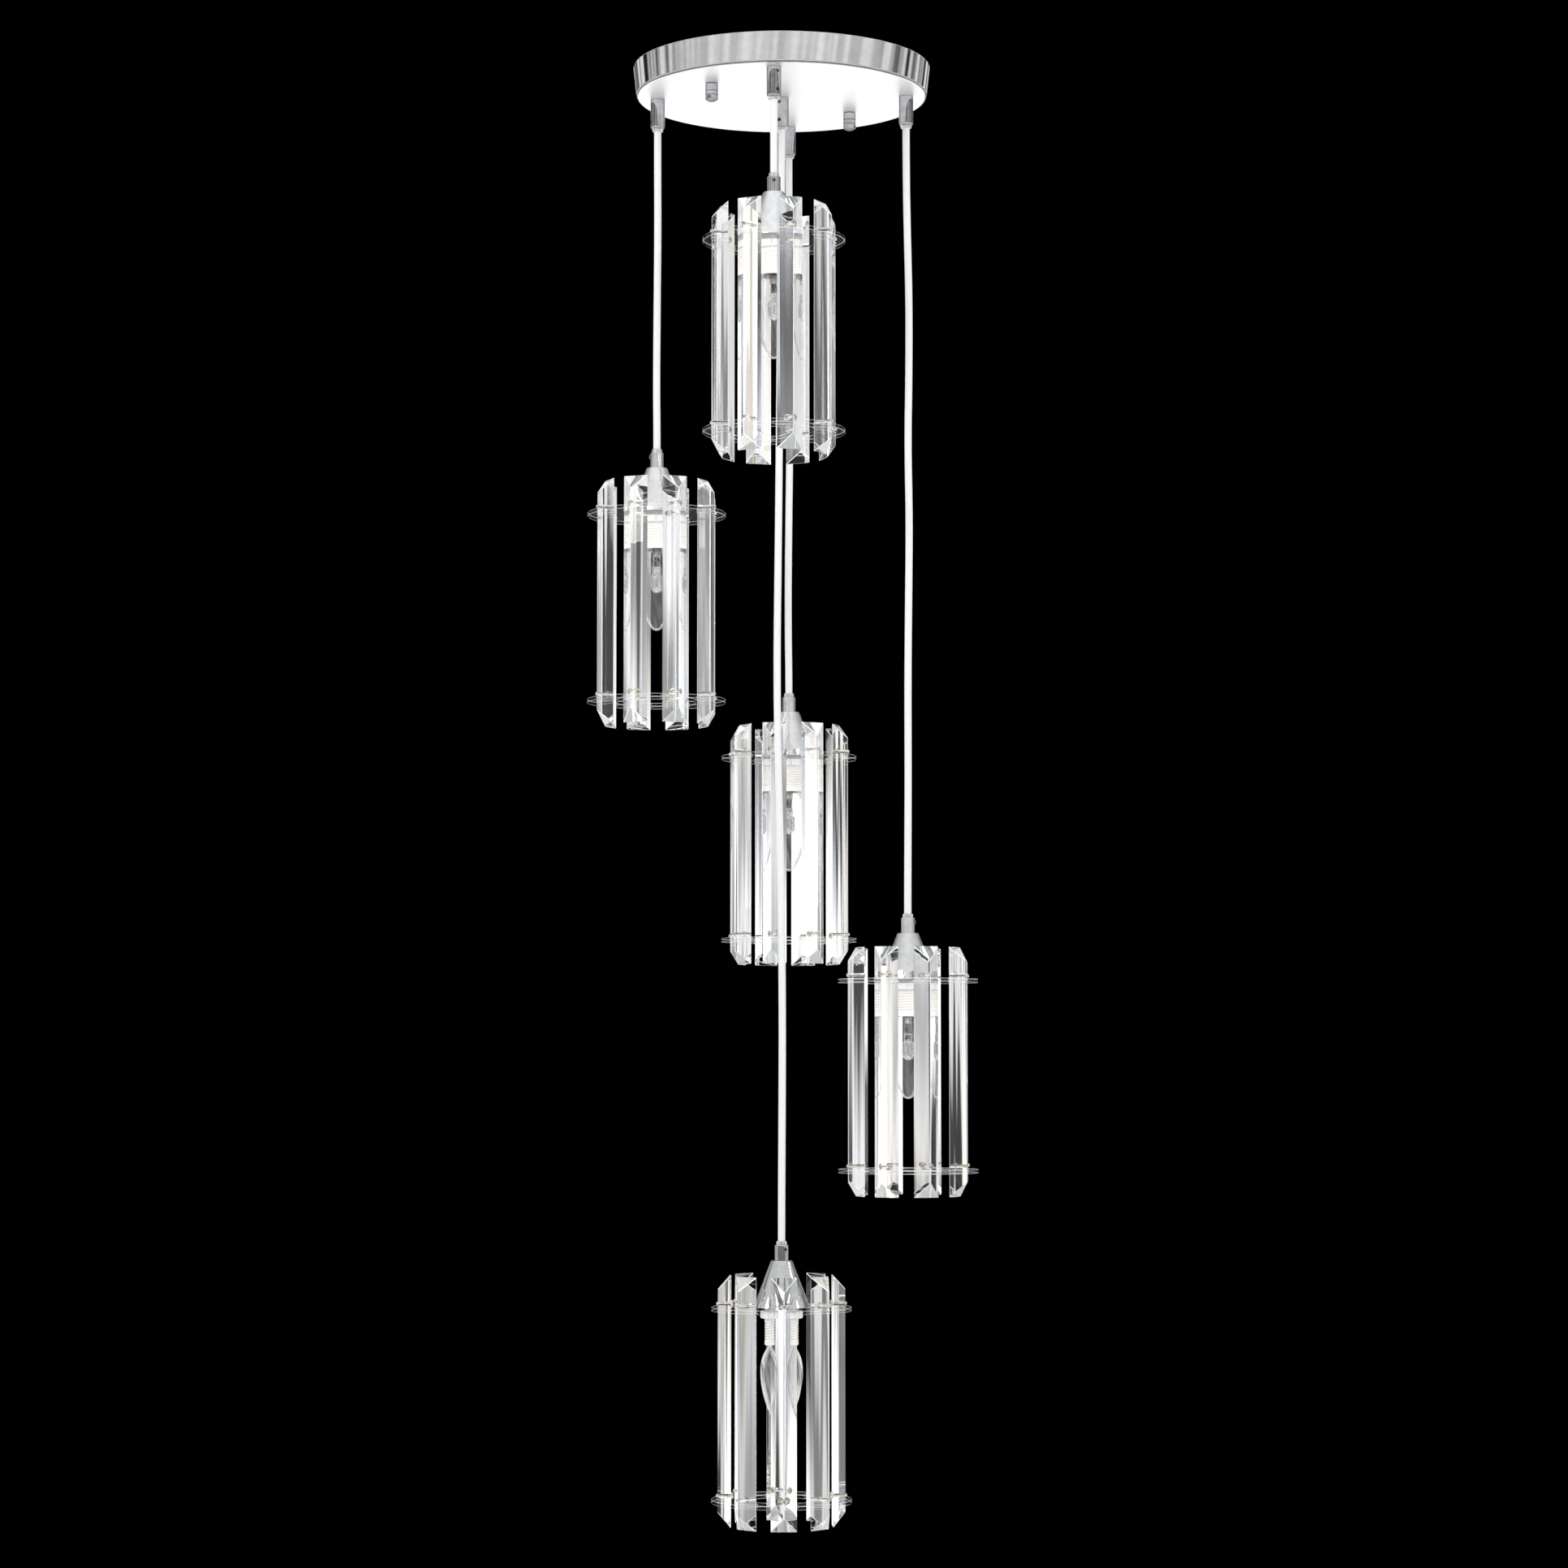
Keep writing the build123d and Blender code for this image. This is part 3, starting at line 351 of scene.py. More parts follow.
def line(name: str, runs: list[list[Vector]], kind: str = "NURBS", steps: int = 12) -> bpy.types.Object:
    """Draw open lines through points.

    Args:
        name: The new curve's name.
        runs: The points of each line, in metres.
        kind: NURBS for smooth lines, or POLY for straight runs from point to point.
        steps: Straight runs that stand for each bend of a smooth line.

    Returns:
        The curve, with no thickness.
    """
    data = bpy.data.curves.new(name, "CURVE")
    data.dimensions = "3D"
    data.resolution_u = steps
    for points in runs:
        spline = data.splines.new(kind)
        spline.points.add(len(points) - 1)
        for point, place in zip(spline.points, points):
            point.co = (*place, 1)
        if kind == "NURBS":
            spline.order_u = 3
            spline.use_endpoint_u = True
    piece = bpy.data.objects.new(name, data)
    bpy.context.scene.collection.objects.link(piece)
    return piece


def thickened(curve: bpy.types.Object, radius: float, faces: int) -> bpy.types.Object:
    """Give a curve its round section and closed ends.

    Args:
        curve: The curve to change.
        radius: Radius of its section, in millimetres.
        faces: How finely the section is rounded.

    Returns:
        The same curve.
    """
    curve.data.bevel_depth = radius * MM
    curve.data.bevel_resolution = faces
    curve.data.use_fill_caps = True
    return curve


def meshed(curve: bpy.types.Object) -> bpy.types.Object:
    """Turn a curve into a smooth mesh.

    Args:
        curve: The curve to turn.

    Returns:
        The mesh's object.
    """
    pick(curve)
    bpy.ops.object.convert(target="MESH")
    bpy.ops.object.shade_smooth()
    return bpy.context.object


def arc(centre: tuple[float, float], radius: float, start: float, end: float, faces: int) -> Outline:
    """Return points on an arc between two angles in degrees, from outward towards up."""
    angles = [math.radians(start + (end - start) * n / faces) for n in range(faces + 1)]
    return [(centre[0] + radius * math.cos(a), centre[1] + radius * math.sin(a)) for a in angles]


def rows(radius: float, high: float, low: float, count: int) -> Outline:
    """Return evenly spaced points down a wall, its two ends among them."""
    return [(radius, high + (low - high) * n / count) for n in range(count + 1)]


def polar(radius: float, degrees: float) -> tuple[float, float]:
    """Return X and Y of a place on a circle."""
    angle = math.radians(degrees)
    return radius * math.cos(angle), radius * math.sin(angle)


def regular(radius: float, corners: int) -> Outline:
    """Return the corners of a regular section round the axis."""
    return [polar(radius, 360 * corner / corners) for corner in range(corners)]


def drill(radius: float, low: float, high: float, axis: Axis = Axis.UPRIGHT) -> bpy.types.Object:
    """Return a round cutter from the axis between two distances, in millimetres."""
    return laid(bar("drill", regular(radius, 24), low, high), axis.value)


def moved(x: float, y: float, z: float, turn: float = 0.0) -> Matrix:
    """Return a move to a place in millimetres after a turn in degrees about Z."""
    shift = Matrix.Translation(Vector((x, y, z)) * MM)
    return shift @ Matrix.Rotation(math.radians(turn), 4, "Z")


@dataclass(frozen=True)
class Thread:
    """A rounded screw thread in the wall of a turned piece, in millimetres."""

    radius: float
    low: float
    high: float
    pitch: float
    depth: float

    def groove(self, height: float, angle: float) -> float:
        """Return how deep the groove is at a place, from 0 to 1.

        Args:
            height: Height of the place.
            angle: Angle of the place in radians.

        Returns:
            The share of the thread's depth.
        """
        wave = 0.5 - 0.5 * math.cos(math.tau * (height - self.low) / self.pitch - angle)
        run_in = min(height - self.low, self.high - height) / self.pitch
        return wave**1.5 * max(0.0, min(1.0, run_in))


# ---------------------------------------------------------------------------------------------
# Node trees and the effects that several finishes share
# ---------------------------------------------------------------------------------------------
class Recipe:
    """The node tree of a material, a group or the surroundings, with short calls."""

    def __init__(self, tree: bpy.types.NodeTree) -> None:
        """Start from an empty tree."""
        self.tree = tree
        tree.nodes.clear()

    def add(self, kind: str, at: dict | None = None, **settings: object) -> bpy.types.Node:
        """Add one node.

        Args:
            kind: The node's type without its prefix.
            at: Its sockets' own values, by name or number.
            settings: The node's settings.

        Returns:
            The node.
        """
        node = self.tree.nodes.new(f"ShaderNode{kind}")
        for setting, value in settings.items():
            setattr(node, setting, value)
        for socket, value in (at or {}).items():
            self.feed(value, node.inputs[socket])
        return node

    def feed(self, value: object, socket: bpy.types.NodeSocket) -> None:
        """Link an output to a socket, or set the socket's own value.

        Args:
            value: The output's socket, a number or a colour, which is made opaque.
            socket: The socket to feed.
        """
        if isinstance(value, bpy.types.NodeSocket):
            self.tree.links.new(value, socket)
        else:
            socket.default_value = (*value, 1) if socket.type == "RGBA" else value

    def math(self, operation: str, first: object, second: object = 0.0) -> bpy.types.NodeSocket:
        """Return the result of a math node on two sockets or numbers."""
        return self.add("Math", {0: first, 1: second}, operation=operation).outputs[0]

    def span(self, value: object, low: object, high: object, start: float = 0.0, end: float = 1.0) -> object:
        """Spread a value from start..end to low..high, and return the result's socket."""
        sockets = {"Value": value, "From Min": start, "From Max": end, "To Min": low, "To Max": high}
        return self.add("MapRange", sockets).outputs[0]

    def noise(self, place: object, scale: object, detail: float = 2.0) -> bpy.types.NodeSocket:
        """Return the value of a cloudy pattern at a place."""
        return self.add("TexNoise", {"Vector": place, "Scale": scale, "Detail": detail}).outputs[0]

    def stretched(self, place: object, scale: tuple[float, float, float]) -> bpy.types.NodeSocket:
        """Return a place scaled along each axis."""
        return self.add("Mapping", {"Vector": place, "Scale": scale}).outputs[0]

    def blended(self, mask: object, low: object, high: object, mode: str = "MIX") -> bpy.types.NodeSocket:
        """Return a colour between two colours or colour sockets by a mask."""
        return self.add("Mix", {0: mask, 6: low, 7: high}, data_type="RGBA", blend_type=mode).outputs[2]

    def height(self, normal: object) -> bpy.types.NodeSocket:
        """Return how far a direction looks up, from -1 to 1."""
        return self.add("SeparateXYZ", {0: normal}).outputs["Z"]

    def facing(self) -> bpy.types.NodeSocket:
        """Return how far the surface turns away from the eye, from 0 to 1."""
        return self.add("LayerWeight", {"Blend": 0.5}).outputs["Facing"]

    def ramp(self, value: object, stops: tuple[tuple[float, Colour], ...]) -> bpy.types.NodeSocket:
        """Turn a value from 0 to 1 into a colour.

        Args:
            value: The value's socket.
            stops: Place and colour of each stop, in order.

        Returns:
            The colour's socket.
        """
        node = self.add("ValToRGB", {0: value})
        elements = node.color_ramp.elements
        while len(elements) < len(stops):
            elements.new(1.0)
        for element, (place, colour) in zip(elements, stops):
            element.position = place
            element.color = (*colour, 1)
        return node.outputs[0]


def grey(value: float) -> Colour:
    """Return a neutral grey."""
    return (value, value, value)


@dataclass(frozen=True)
class Effect:
    """A shader node group that takes a place and some numbers."""

    name: str
    inputs: tuple[tuple[str, float], ...]
    outputs: tuple[str, ...]

    def group(self) -> tuple[bpy.types.NodeTree, Recipe, bpy.types.Node, bpy.types.Node]:
        """Make the group with its sockets.

        Returns:
            The group, its recipe, and the nodes of its inputs and outputs.
        """
        tree = bpy.data.node_groups.new(self.name, "ShaderNodeTree")
        recipe = Recipe(tree)
        tree.interface.new_socket("Vector", in_out="INPUT", socket_type="NodeSocketVector")
        for name, value in self.inputs:
            socket = tree.interface.new_socket(name, in_out="INPUT", socket_type="NodeSocketFloat")
            socket.default_value = value
        for name in self.outputs:
            tree.interface.new_socket(name, in_out="OUTPUT", socket_type="NodeSocketFloat")
        return tree, recipe, tree.nodes.new("NodeGroupInput"), tree.nodes.new("NodeGroupOutput")


class Effects:
    """The shared effects, each built once."""

    def __init__(self) -> None:
        """Build every group."""
        self.marks = self._marks()
        self.lines = self._lines()
        self.dust = self._dust()
        self.mottle = self._mottle()

    def _marks(self) -> bpy.types.NodeTree:
        """Build handling marks, which are soft smudges broken by finer ones.

        Returns:
            The group.
        """
        effect = Effect("handling_marks", (("Size", 40.0), ("Clean", 0.03), ("Marked", 0.12)), ("Roughness",))
        tree, r, source, sink = effect.group()
        smudge = r.noise(source.outputs["Vector"], source.outputs["Size"], 3.0)
        finer = r.noise(source.outputs["Vector"], r.math("MULTIPLY", source.outputs["Size"], 7.0), 5.0)
        mask = r.math("MULTIPLY", r.span(smudge, 0.0, 1.0, 0.5, 0.72), r.span(finer, 0.2, 1.0, 0.3, 0.7))
        r.feed(r.span(mask, source.outputs["Clean"], source.outputs["Marked"]), sink.inputs["Roughness"])
        return tree

    def _lines(self) -> bpy.types.NodeTree:
        """Build turning lines, which are fine rings round the Z axis.

        Returns:
            The group.
        """
        tree, r, source, sink = Effect("turning_lines", (("Lines", 3000.0),), ("Height",)).group()
        across = r.math("MULTIPLY", r.height(source.outputs["Vector"]), source.outputs["Lines"])
        rings = r.add("TexNoise", {"W": across, "Detail": 4.0, "Scale": 1.0}, noise_dimensions="1D")
        r.feed(rings.outputs[0], sink.inputs["Height"])
        return tree

    def _dust(self) -> bpy.types.NodeTree:
        """Build settled dust, which lies on faces that look up.

        Returns:
            The group.
        """
        tree, r, source, sink = Effect("settled_dust", (("Size", 90.0), ("Amount", 0.3)), ("Mask",)).group()
        up = r.height(r.add("NewGeometry").outputs["Normal"])
        settled = r.math("POWER", r.math("MAXIMUM", up, 0.0), 2.0)
        cloud = r.span(r.noise(source.outputs["Vector"], source.outputs["Size"], 6.0), 0.2, 1.0, 0.35, 0.7)
        amount = r.math("MULTIPLY", r.math("MULTIPLY", settled, cloud), source.outputs["Amount"])
        r.feed(amount, sink.inputs["Mask"])
        return tree

    def _mottle(self) -> bpy.types.NodeTree:
        """Build a mottled surface: a mask of soft patches and a height of fine grains.

        Returns:
            The group.
        """
        tree, r, source, sink = Effect("mottle", (("Size", 300.0),), ("Mask", "Height")).group()
        r.feed(r.noise(source.outputs["Vector"], source.outputs["Size"], 4.0), sink.inputs["Mask"])
        fine = r.math("MULTIPLY", source.outputs["Size"], 12.0)
        r.feed(r.noise(source.outputs["Vector"], fine, 2.0), sink.inputs["Height"])
        return tree


# ---------------------------------------------------------------------------------------------
# Finishes
# ---------------------------------------------------------------------------------------------
@dataclass(frozen=True)
class Coating:
    """A material with the record's slot that it stands for, if there is one."""

    material: bpy.types.Material
    slot: str | None


@dataclass(frozen=True)
class Finish:
    """What every finish has: a name, the record's slot and the way its material is made."""

    name: str
    slot: str | None

    def made(self, effects: Effects) -> Coating:
        """Build the material.

        Args:
            effects: The shared effects.

        Returns:
            The material with its slot.
        """
        material = bpy.data.materials.new(self.name)
        material.use_nodes = True
        recipe = Recipe(material.node_tree)
        shader = recipe.add("BsdfPrincipled")
        surface = recipe.add("OutputMaterial")
        recipe.feed(shader.outputs[0], surface.inputs["Surface"])
        self.fill(recipe, shader.inputs, recipe.add("TexCoord").outputs["Object"], effects)
        return Coating(material, self.slot)

    def fill(self, r: Recipe, shader: bpy.types.NodeInputs, place: object, effects: Effects) -> None:
        """Fill the shader's sockets from the place on the piece and the shared effects."""
        raise NotImplementedError

    def effect(self, r: Recipe, tree: bpy.types.NodeTree, place: object, **values: float) -> bpy.types.Node:
        """Add a shared effect with its own numbers.

        Args:
            r: The material's recipe.
            tree: The effect's group.
            place: The socket of the place on the piece.
            values: The effect's numbers.

        Returns:
            The effect's node.
        """
        node = r.add("Group", node_tree=tree)
        r.feed(place, node.inputs["Vector"])
        for name, value in values.items():
            node.inputs[name].default_value = value
        return node

    def worn(self, r: Recipe, effects: Effects, place: object, size: float, clean: float, spread: float) -> object:
        """Return the roughness of a handled surface, from clean to clean plus the spread."""
        return self.effect(r, effects.marks, place, Size=size, Clean=clean, Marked=clean + spread).outputs[0]

    def bump(self, r: Recipe, height: object, depth: float, shader: bpy.types.NodeInputs) -> None:
        """Raise the shader's surface by a height, with its depth in millimetres."""
        node = r.add("Bump", {"Height": height, "Strength": 1.0, "Distance": depth * MM})
        r.feed(node.outputs[0], shader["Normal"])


@dataclass(frozen=True)
class Metal(Finish):
    """Plated, turned or drawn metal.

    The underside is the roughness of faces that look down; these faces also get a painted highlight, a pale colour,
    and a painted shade, a dark band on the rounded corner round them. The edge share is what is left of the colour
    in a painted shade where the surface turns away from the eye.
    """

    light: Colour
    dark: Colour
    clean: float
    marked: float
    line_depth: float
    dust: float = 0.15
    underside: float = 0.0
    # Share of the colour kept in the painted shade where the surface turns away from the eye.
    painted_edge_share: float = 1.0
    # Painted highlight colour of faces that look down, and painted shade colour of the rounded corner round them.
    painted_pale_underside: Colour = (0.98, 0.98, 0.98)
    corner: Colour = (0.2, 0.2, 0.21)

    def fill(self, r: Recipe, shader: bpy.types.NodeInputs, place: object, effects: Effects) -> None:
        """Fill the shader's sockets.

        Args:
            r: The material's recipe.
            shader: The shader's sockets.
            place: The socket of the place on the piece.
            effects: The shared effects.
        """
        shader["Metallic"].default_value = 1.0
        patches = self.effect(r, effects.mottle, place, Size=160.0)
        dusty = self.effect(r, effects.dust, place, Amount=self.dust)
        share = r.math("MAXIMUM", r.span(patches.outputs["Mask"], 0.0, 1.0, 0.42, 0.62), dusty.outputs[0])
        colour = r.blended(share, self.light, self.dark)
        marks = self.effect(r, effects.marks, place, Size=45.0, Clean=self.clean, Marked=self.marked)
        worn = r.math("ADD", marks.outputs[0], r.math("MULTIPLY", dusty.outputs[0], 0.3))
        if self.underside:
            up = r.height(r.add("NewGeometry").outputs["Normal"])
            worn = r.math("MAXIMUM", worn, r.span(up, self.underside, 0.0, -1.0, -0.93))
            # Painted highlight: faces that look down are blended to a pale colour.
            colour = r.blended(r.span(up, 1.0, 0.0, -1.0, -0.93), colour, self.painted_pale_underside)
            # Painted shade: a dark band on the rounded corner round the down-facing faces.
            corner = r.math("MINIMUM", r.span(up, 0.0, 1.0, -0.93, -0.8), r.span(up, 1.0, 0.0, -0.5, -0.2))
            colour = r.blended(corner, colour, self.corner)
        # Painted shade: the colour darkens where the surface turns away from the eye.
        if self.painted_edge_share < 1:
            side = tuple(self.painted_edge_share * part for part in self.dark)
            colour = r.blended(r.span(r.facing(), 0.0, 1.0, 0.25, 0.75), colour, side)
        r.feed(colour, shader["Base Color"])
        r.feed(worn, shader["Roughness"])
        lines = self.effect(r, effects.lines, place, Lines=2600.0)
        self.bump(r, lines.outputs[0], self.line_depth, shader)


@dataclass(frozen=True)
class Plastic(Finish):
    """Moulded plastic with a fine satin skin and a painted beige shade in its thread grooves."""

    light: Colour
    dark: Colour
    roughness: float
    coat: float = 0.25
    groove_shade_colour: Colour = (0.80, 0.70, 0.54)
    groove_shade_share: float = 0.5
    grain_depth: float = 0.012

    def fill(self, r: Recipe, shader: bpy.types.NodeInputs, place: object, effects: Effects) -> None:
        """Fill the shader's sockets.

        Args:
            r: The material's recipe.
            shader: The shader's sockets.
            place: The socket of the place on the piece.
            effects: The shared effects.
        """
        shader["Coat Roughness"].default_value = 0.2
        shader["Coat Weight"].default_value = self.coat
        patches = self.effect(r, effects.mottle, place, Size=220.0)
        dusty = self.effect(r, effects.dust, place, Amount=0.35)
        share = r.math("MAXIMUM", r.span(patches.outputs["Mask"], 0.0, 1.0, 0.35, 0.75), dusty.outputs[0])
        skin = r.blended(share, self.light, self.dark)
        # Painted shade: the thread grooves are tinted beige by their depth.
        groove = r.add("Attribute", attribute_name=GROOVE).outputs["Fac"]
        tinted = r.blended(r.math("MULTIPLY", groove, self.groove_shade_share), skin, self.groove_shade_colour)
        r.feed(tinted, shader["Base Color"])
        r.feed(self.worn(r, effects, place, 60.0, self.roughness, 0.14), shader["Roughness"])
        self.bump(r, patches.outputs["Height"], self.grain_depth, shader)


@dataclass(frozen=True)
class Clear(Finish):
    """Glass or clear plastic, with faint tinted streaks along its height.

    The ripple is the depth of its waves in millimetres. The grain and the streaks are the number of waves and of
    tinted streaks per metre along each axis. A thin wall shows at its edges alone, and a shadow under 1 lets the
    lamps' light through.
    """

    bright: Colour
    warm: Colour
    cool: Colour
    index: float
    roughness: float
    ripple: float
    transmission: float = 1.0
    alpha: float = 1.0
    grain: tuple[float, float, float] = (35.0, 35.0, 35.0)
    streaks: tuple[float, float, float] = (330.0, 330.0, 2.5)
    thin: bool = False
    shadow: float = 1.0

    def fill(self, r: Recipe, shader: bpy.types.NodeInputs, place: object, effects: Effects) -> None:
        """Fill the shader's sockets.

        Args:
            r: The material's recipe.
            shader: The shader's sockets.
            place: The socket of the place on the piece.
            effects: The shared effects.
        """
        shader["Transmission Weight"].default_value = self.transmission
        shader["IOR"].default_value = self.index
        shader["Alpha"].default_value = self.alpha
        if self.thin:
            r.feed(r.span(r.facing(), self.alpha, 1.0, 0.35, 0.95), shader["Alpha"])
        if self.shadow < 1:
            shaded = r.add("LightPath").outputs["Is Shadow Ray"]
            r.feed(r.span(shaded, self.alpha, self.shadow), shader["Alpha"])
        streak = r.noise(r.stretched(place, self.streaks), 1.0, 2.0)
        tints = ((0.0, self.cool), (0.34, self.cool), (0.41, self.bright), (0.60, self.bright), (0.67, self.warm))
        r.feed(r.ramp(streak, tints), shader["Base Color"])
        r.feed(self.worn(r, effects, place, 30.0, self.roughness, 0.02), shader["Roughness"])
        self.bump(r, r.noise(r.stretched(place, self.grain), 1.0, 0.6), self.ripple, shader)


@dataclass(frozen=True)
class Strands(Finish):
    """Fine wires twisted into a strand, or a braided sleeve."""

    light: Colour
    dark: Colour
    roughness: float
    threads: float
    thread_depth: float = 0.08

    def fill(self, r: Recipe, shader: bpy.types.NodeInputs, place: object, effects: Effects) -> None:
        """Fill the shader's sockets.

        Args:
            r: The material's recipe.
            shader: The shader's sockets.
            place: The socket of the place on the piece.
            effects: The shared effects.
        """
        laid_up = {"Vector": place, "Scale": self.threads, "Distortion": 1.5}
        wave = r.add("TexWave", laid_up, bands_direction="DIAGONAL").outputs[1]
        r.feed(r.blended(wave, self.dark, self.light), shader["Base Color"])
        r.feed(self.worn(r, effects, place, 80.0, self.roughness, 0.15), shader["Roughness"])
        self.bump(r, wave, self.thread_depth, shader)


class Finishes:
    """Every finish of the light, each built once."""

    def __init__(self) -> None:
        """Build the materials."""
        fx = Effects()
        metals = {
            # The drawn chrome gets the painted pale underside and its corner shade; the turned chrome gets a painted
            # shade at its silhouettes.
            "drawn_chrome": ("chrome", (0.90, 0.905, 0.915), (0.84, 0.845, 0.855), 0.05, 0.1, 0.0004, 0.15, 0.42),
            "turned_chrome": ("chrome", (0.90, 0.905, 0.915), (0.80, 0.81, 0.82), 0.04, 0.11, 0.0012, 0.15, 0.0, 0.25),
            # A darker copy of the chrome, a painted shade, for the glands and ringed nuts, with a deeper painted shade
            # at their silhouettes.
            "shaded_chrome": ("chrome", (0.52, 0.53, 0.55), (0.42, 0.43, 0.45), 0.04, 0.11, 0.0012, 0.15, 0.0, 0.1),
            "zinc_plate": ("zinc_steel", (0.66, 0.68, 0.70), (0.46, 0.48, 0.50), 0.28, 0.45, 0.004, 0.4),
            "set_screw": ("brass", (0.34, 0.24, 0.14), (0.12, 0.08, 0.05), 0.2, 0.36, 0.001),
            "turned_brass": ("brass", (0.78, 0.60, 0.32), (0.46, 0.31, 0.14), 0.16, 0.34, 0.002),
            "plated_screw": ("brass", (0.86, 0.82, 0.74), (0.62, 0.55, 0.45), 0.14, 0.28, 0.001),
            "nickel_wire": ("zinc_steel", (0.70, 0.69, 0.66), (0.42, 0.41, 0.39), 0.2, 0.35, 0.001),
        }
        (
            self.drawn_chrome, self.turned_chrome, self.shaded_chrome, self.zinc,
            self.set_screw, self.brass, self.plated, self.wire,
        ) = (Metal(name, *values).made(fx) for name, values in metals.items())
        self.white = Plastic("white_moulding", "white_plastic", grey(0.90), (0.85, 0.845, 0.82), 0.32).made(fx)
        self.insulator = Plastic("insulator", None, grey(0.06), grey(0.12), 0.2, 0.5).made(fx)
        clear, warm, cool = (0.985, 0.99, 0.995), (1.0, 0.88, 0.72), (0.78, 0.86, 1.0)
        green, pale, sea = (0.74, 0.87, 0.78), (0.82, 0.9, 0.84), (0.985, 0.995, 0.992)
        milky, cream, pure = (0.985, 0.985, 0.98), (0.96, 0.94, 0.92), grey(1.0)
        glass = ("bulb_glass", clear, clear, clear)
        drawn = {"grain": (95.0, 95.0, 0.7), "shadow": 0.15}
        self.prism = Clear("prism_crystal", "prism_glass", clear, warm, cool, 1.5, 0.0, 0.2, **drawn).made(fx)
        self.prism_end = Clear("prism_ends", "prism_glass", pale, pale, green, 1.5, 0.0, 0.05).made(fx)
        self.prism_edge = Clear("prism_edges", "prism_glass", pure, pure, clear, 1.5, 0.18, 0.01, 0.55).made(fx)
        self.disc = Clear("disc_sheet", "clear_disc", sea, sea, clear, 1.5, 0.0, 0.001, 1.0, 0.015).made(fx)
        self.disc_edge = Clear("disc_edge", "clear_disc", pure, pure, clear, 1.5, 0.2, 0.001, 0.3, 0.65).made(fx)
        self.bulb = Clear("bulb_glass", *glass, 1.5, 0.0, 0.004, 1.0, 0.06, thin=True).made(fx)
        self.quartz = Clear("burner_glass", *glass, 1.46, 0.0, 0.02, 1.0, 0.45, thin=True).made(fx)
        self.collar = Clear("clear_collar", "clear_plastic", grey(0.97), grey(0.95), clear, 1.49, 0.04, 0.01).made(fx)
        self.sheath = Clear("cable_sheath", "clear_cable", milky, cream, milky, 1.4, 0.16, 0.01, 0.3).made(fx)
        core, braid = ((0.95, 0.94, 0.92), (0.78, 0.75, 0.73)), ((0.86, 0.85, 0.82), (0.66, 0.65, 0.62))
        self.strand = Strands("white_core", "clear_cable", *core, 0.35, 500.0).made(fx)
        self.sleeve = Strands("braided_sleeve", "lead_sleeve", *braid, 0.7, 1400.0).made(fx)


# ---------------------------------------------------------------------------------------------
# Places
# ---------------------------------------------------------------------------------------------
@dataclass(frozen=True)
class Hanging:
    """One pendant's place, in millimetres and degrees."""

    index: int
    x: float
    y: float
    disc_top: float
    shade_turn: float
    grip_turn: float
    gland_turn: float
    waves: tuple[tuple[float, float, float], ...]

    def shade_place(self) -> Matrix:
        """Return the move from the shade's own axis to its place."""
        return moved(self.x, self.y, self.disc_top, self.shade_turn)

    def grip_place(self) -> Matrix:
        """Return the move of the cord grip to its place."""
        return moved(self.x, self.y, self.disc_top, self.grip_turn)


GLAND_CIRCLE = 105.0
GLAND_CROSS_TURN = -3.4
PIVOT = -50.0
BRACKET_TURN = 41.0
STUD_CIRCLE = 77.0
STUDS = tuple(polar(STUD_CIRCLE, BRACKET_TURN + half) for half in (0, 180))
NEAR, LEFT, FAR, RIGHT = (polar(GLAND_CIRCLE, start + GLAND_CROSS_TURN) for start in (-90, 180, 90, 0))

PENDANTS = (
    Hanging(1, *NEAR, -167.0, -5.0, -90.0, -60.0, ()),
    Hanging(
        2, *LEFT, -377.0, 0.0, -170.0, -165.0,
        ((88.0, 0.4, -0.3), (160.0, -0.2, 0.5), (222.0, -0.5, 0.4)),
    ),
    Hanging(
        3, *FAR, -574.0, 5.5, 60.0, 75.0,
        (
            (80.0, 0.5, 0.4), (150.0, 1.3, 1.0), (225.0, 1.1, 0.6), (300.0, 0.2, -0.5),
            (370.0, -0.6, -0.9), (425.0, -0.5, -0.4),
        ),
    ),
    Hanging(
        4, *RIGHT, -768.0, -4.0, -10.0, -15.0,
        (
            (80.0, 0.6, -0.4), (150.0, 2.2, -0.9), (215.0, 1.9, -0.2), (270.0, 0.9, 0.7),
            (335.0, 2.1, 1.1), (400.0, 1.3, 0.5), (470.0, 0.5, -0.3), (545.0, 0.6, -0.8),
            (615.0, 0.2, -0.4),
        ),
    ),
    Hanging(
        5, 0.0, 0.0, -1038.5, 25.0, -60.0, -110.0,
        (
            (78.0, -0.3, 0.4), (150.0, -0.9, 1.1), (225.0, -1.6, 1.2), (300.0, -2.2, 0.5),
            (375.0, -3.0, -0.6), (450.0, -3.9, -1.2), (520.0, -3.3, -1.0), (590.0, -1.5, -0.1),
            (665.0, -0.1, 0.9), (740.0, 0.7, 1.3), (815.0, 0.5, 0.6), (880.0, 0.1, 0.1),
        ),
    ),
)


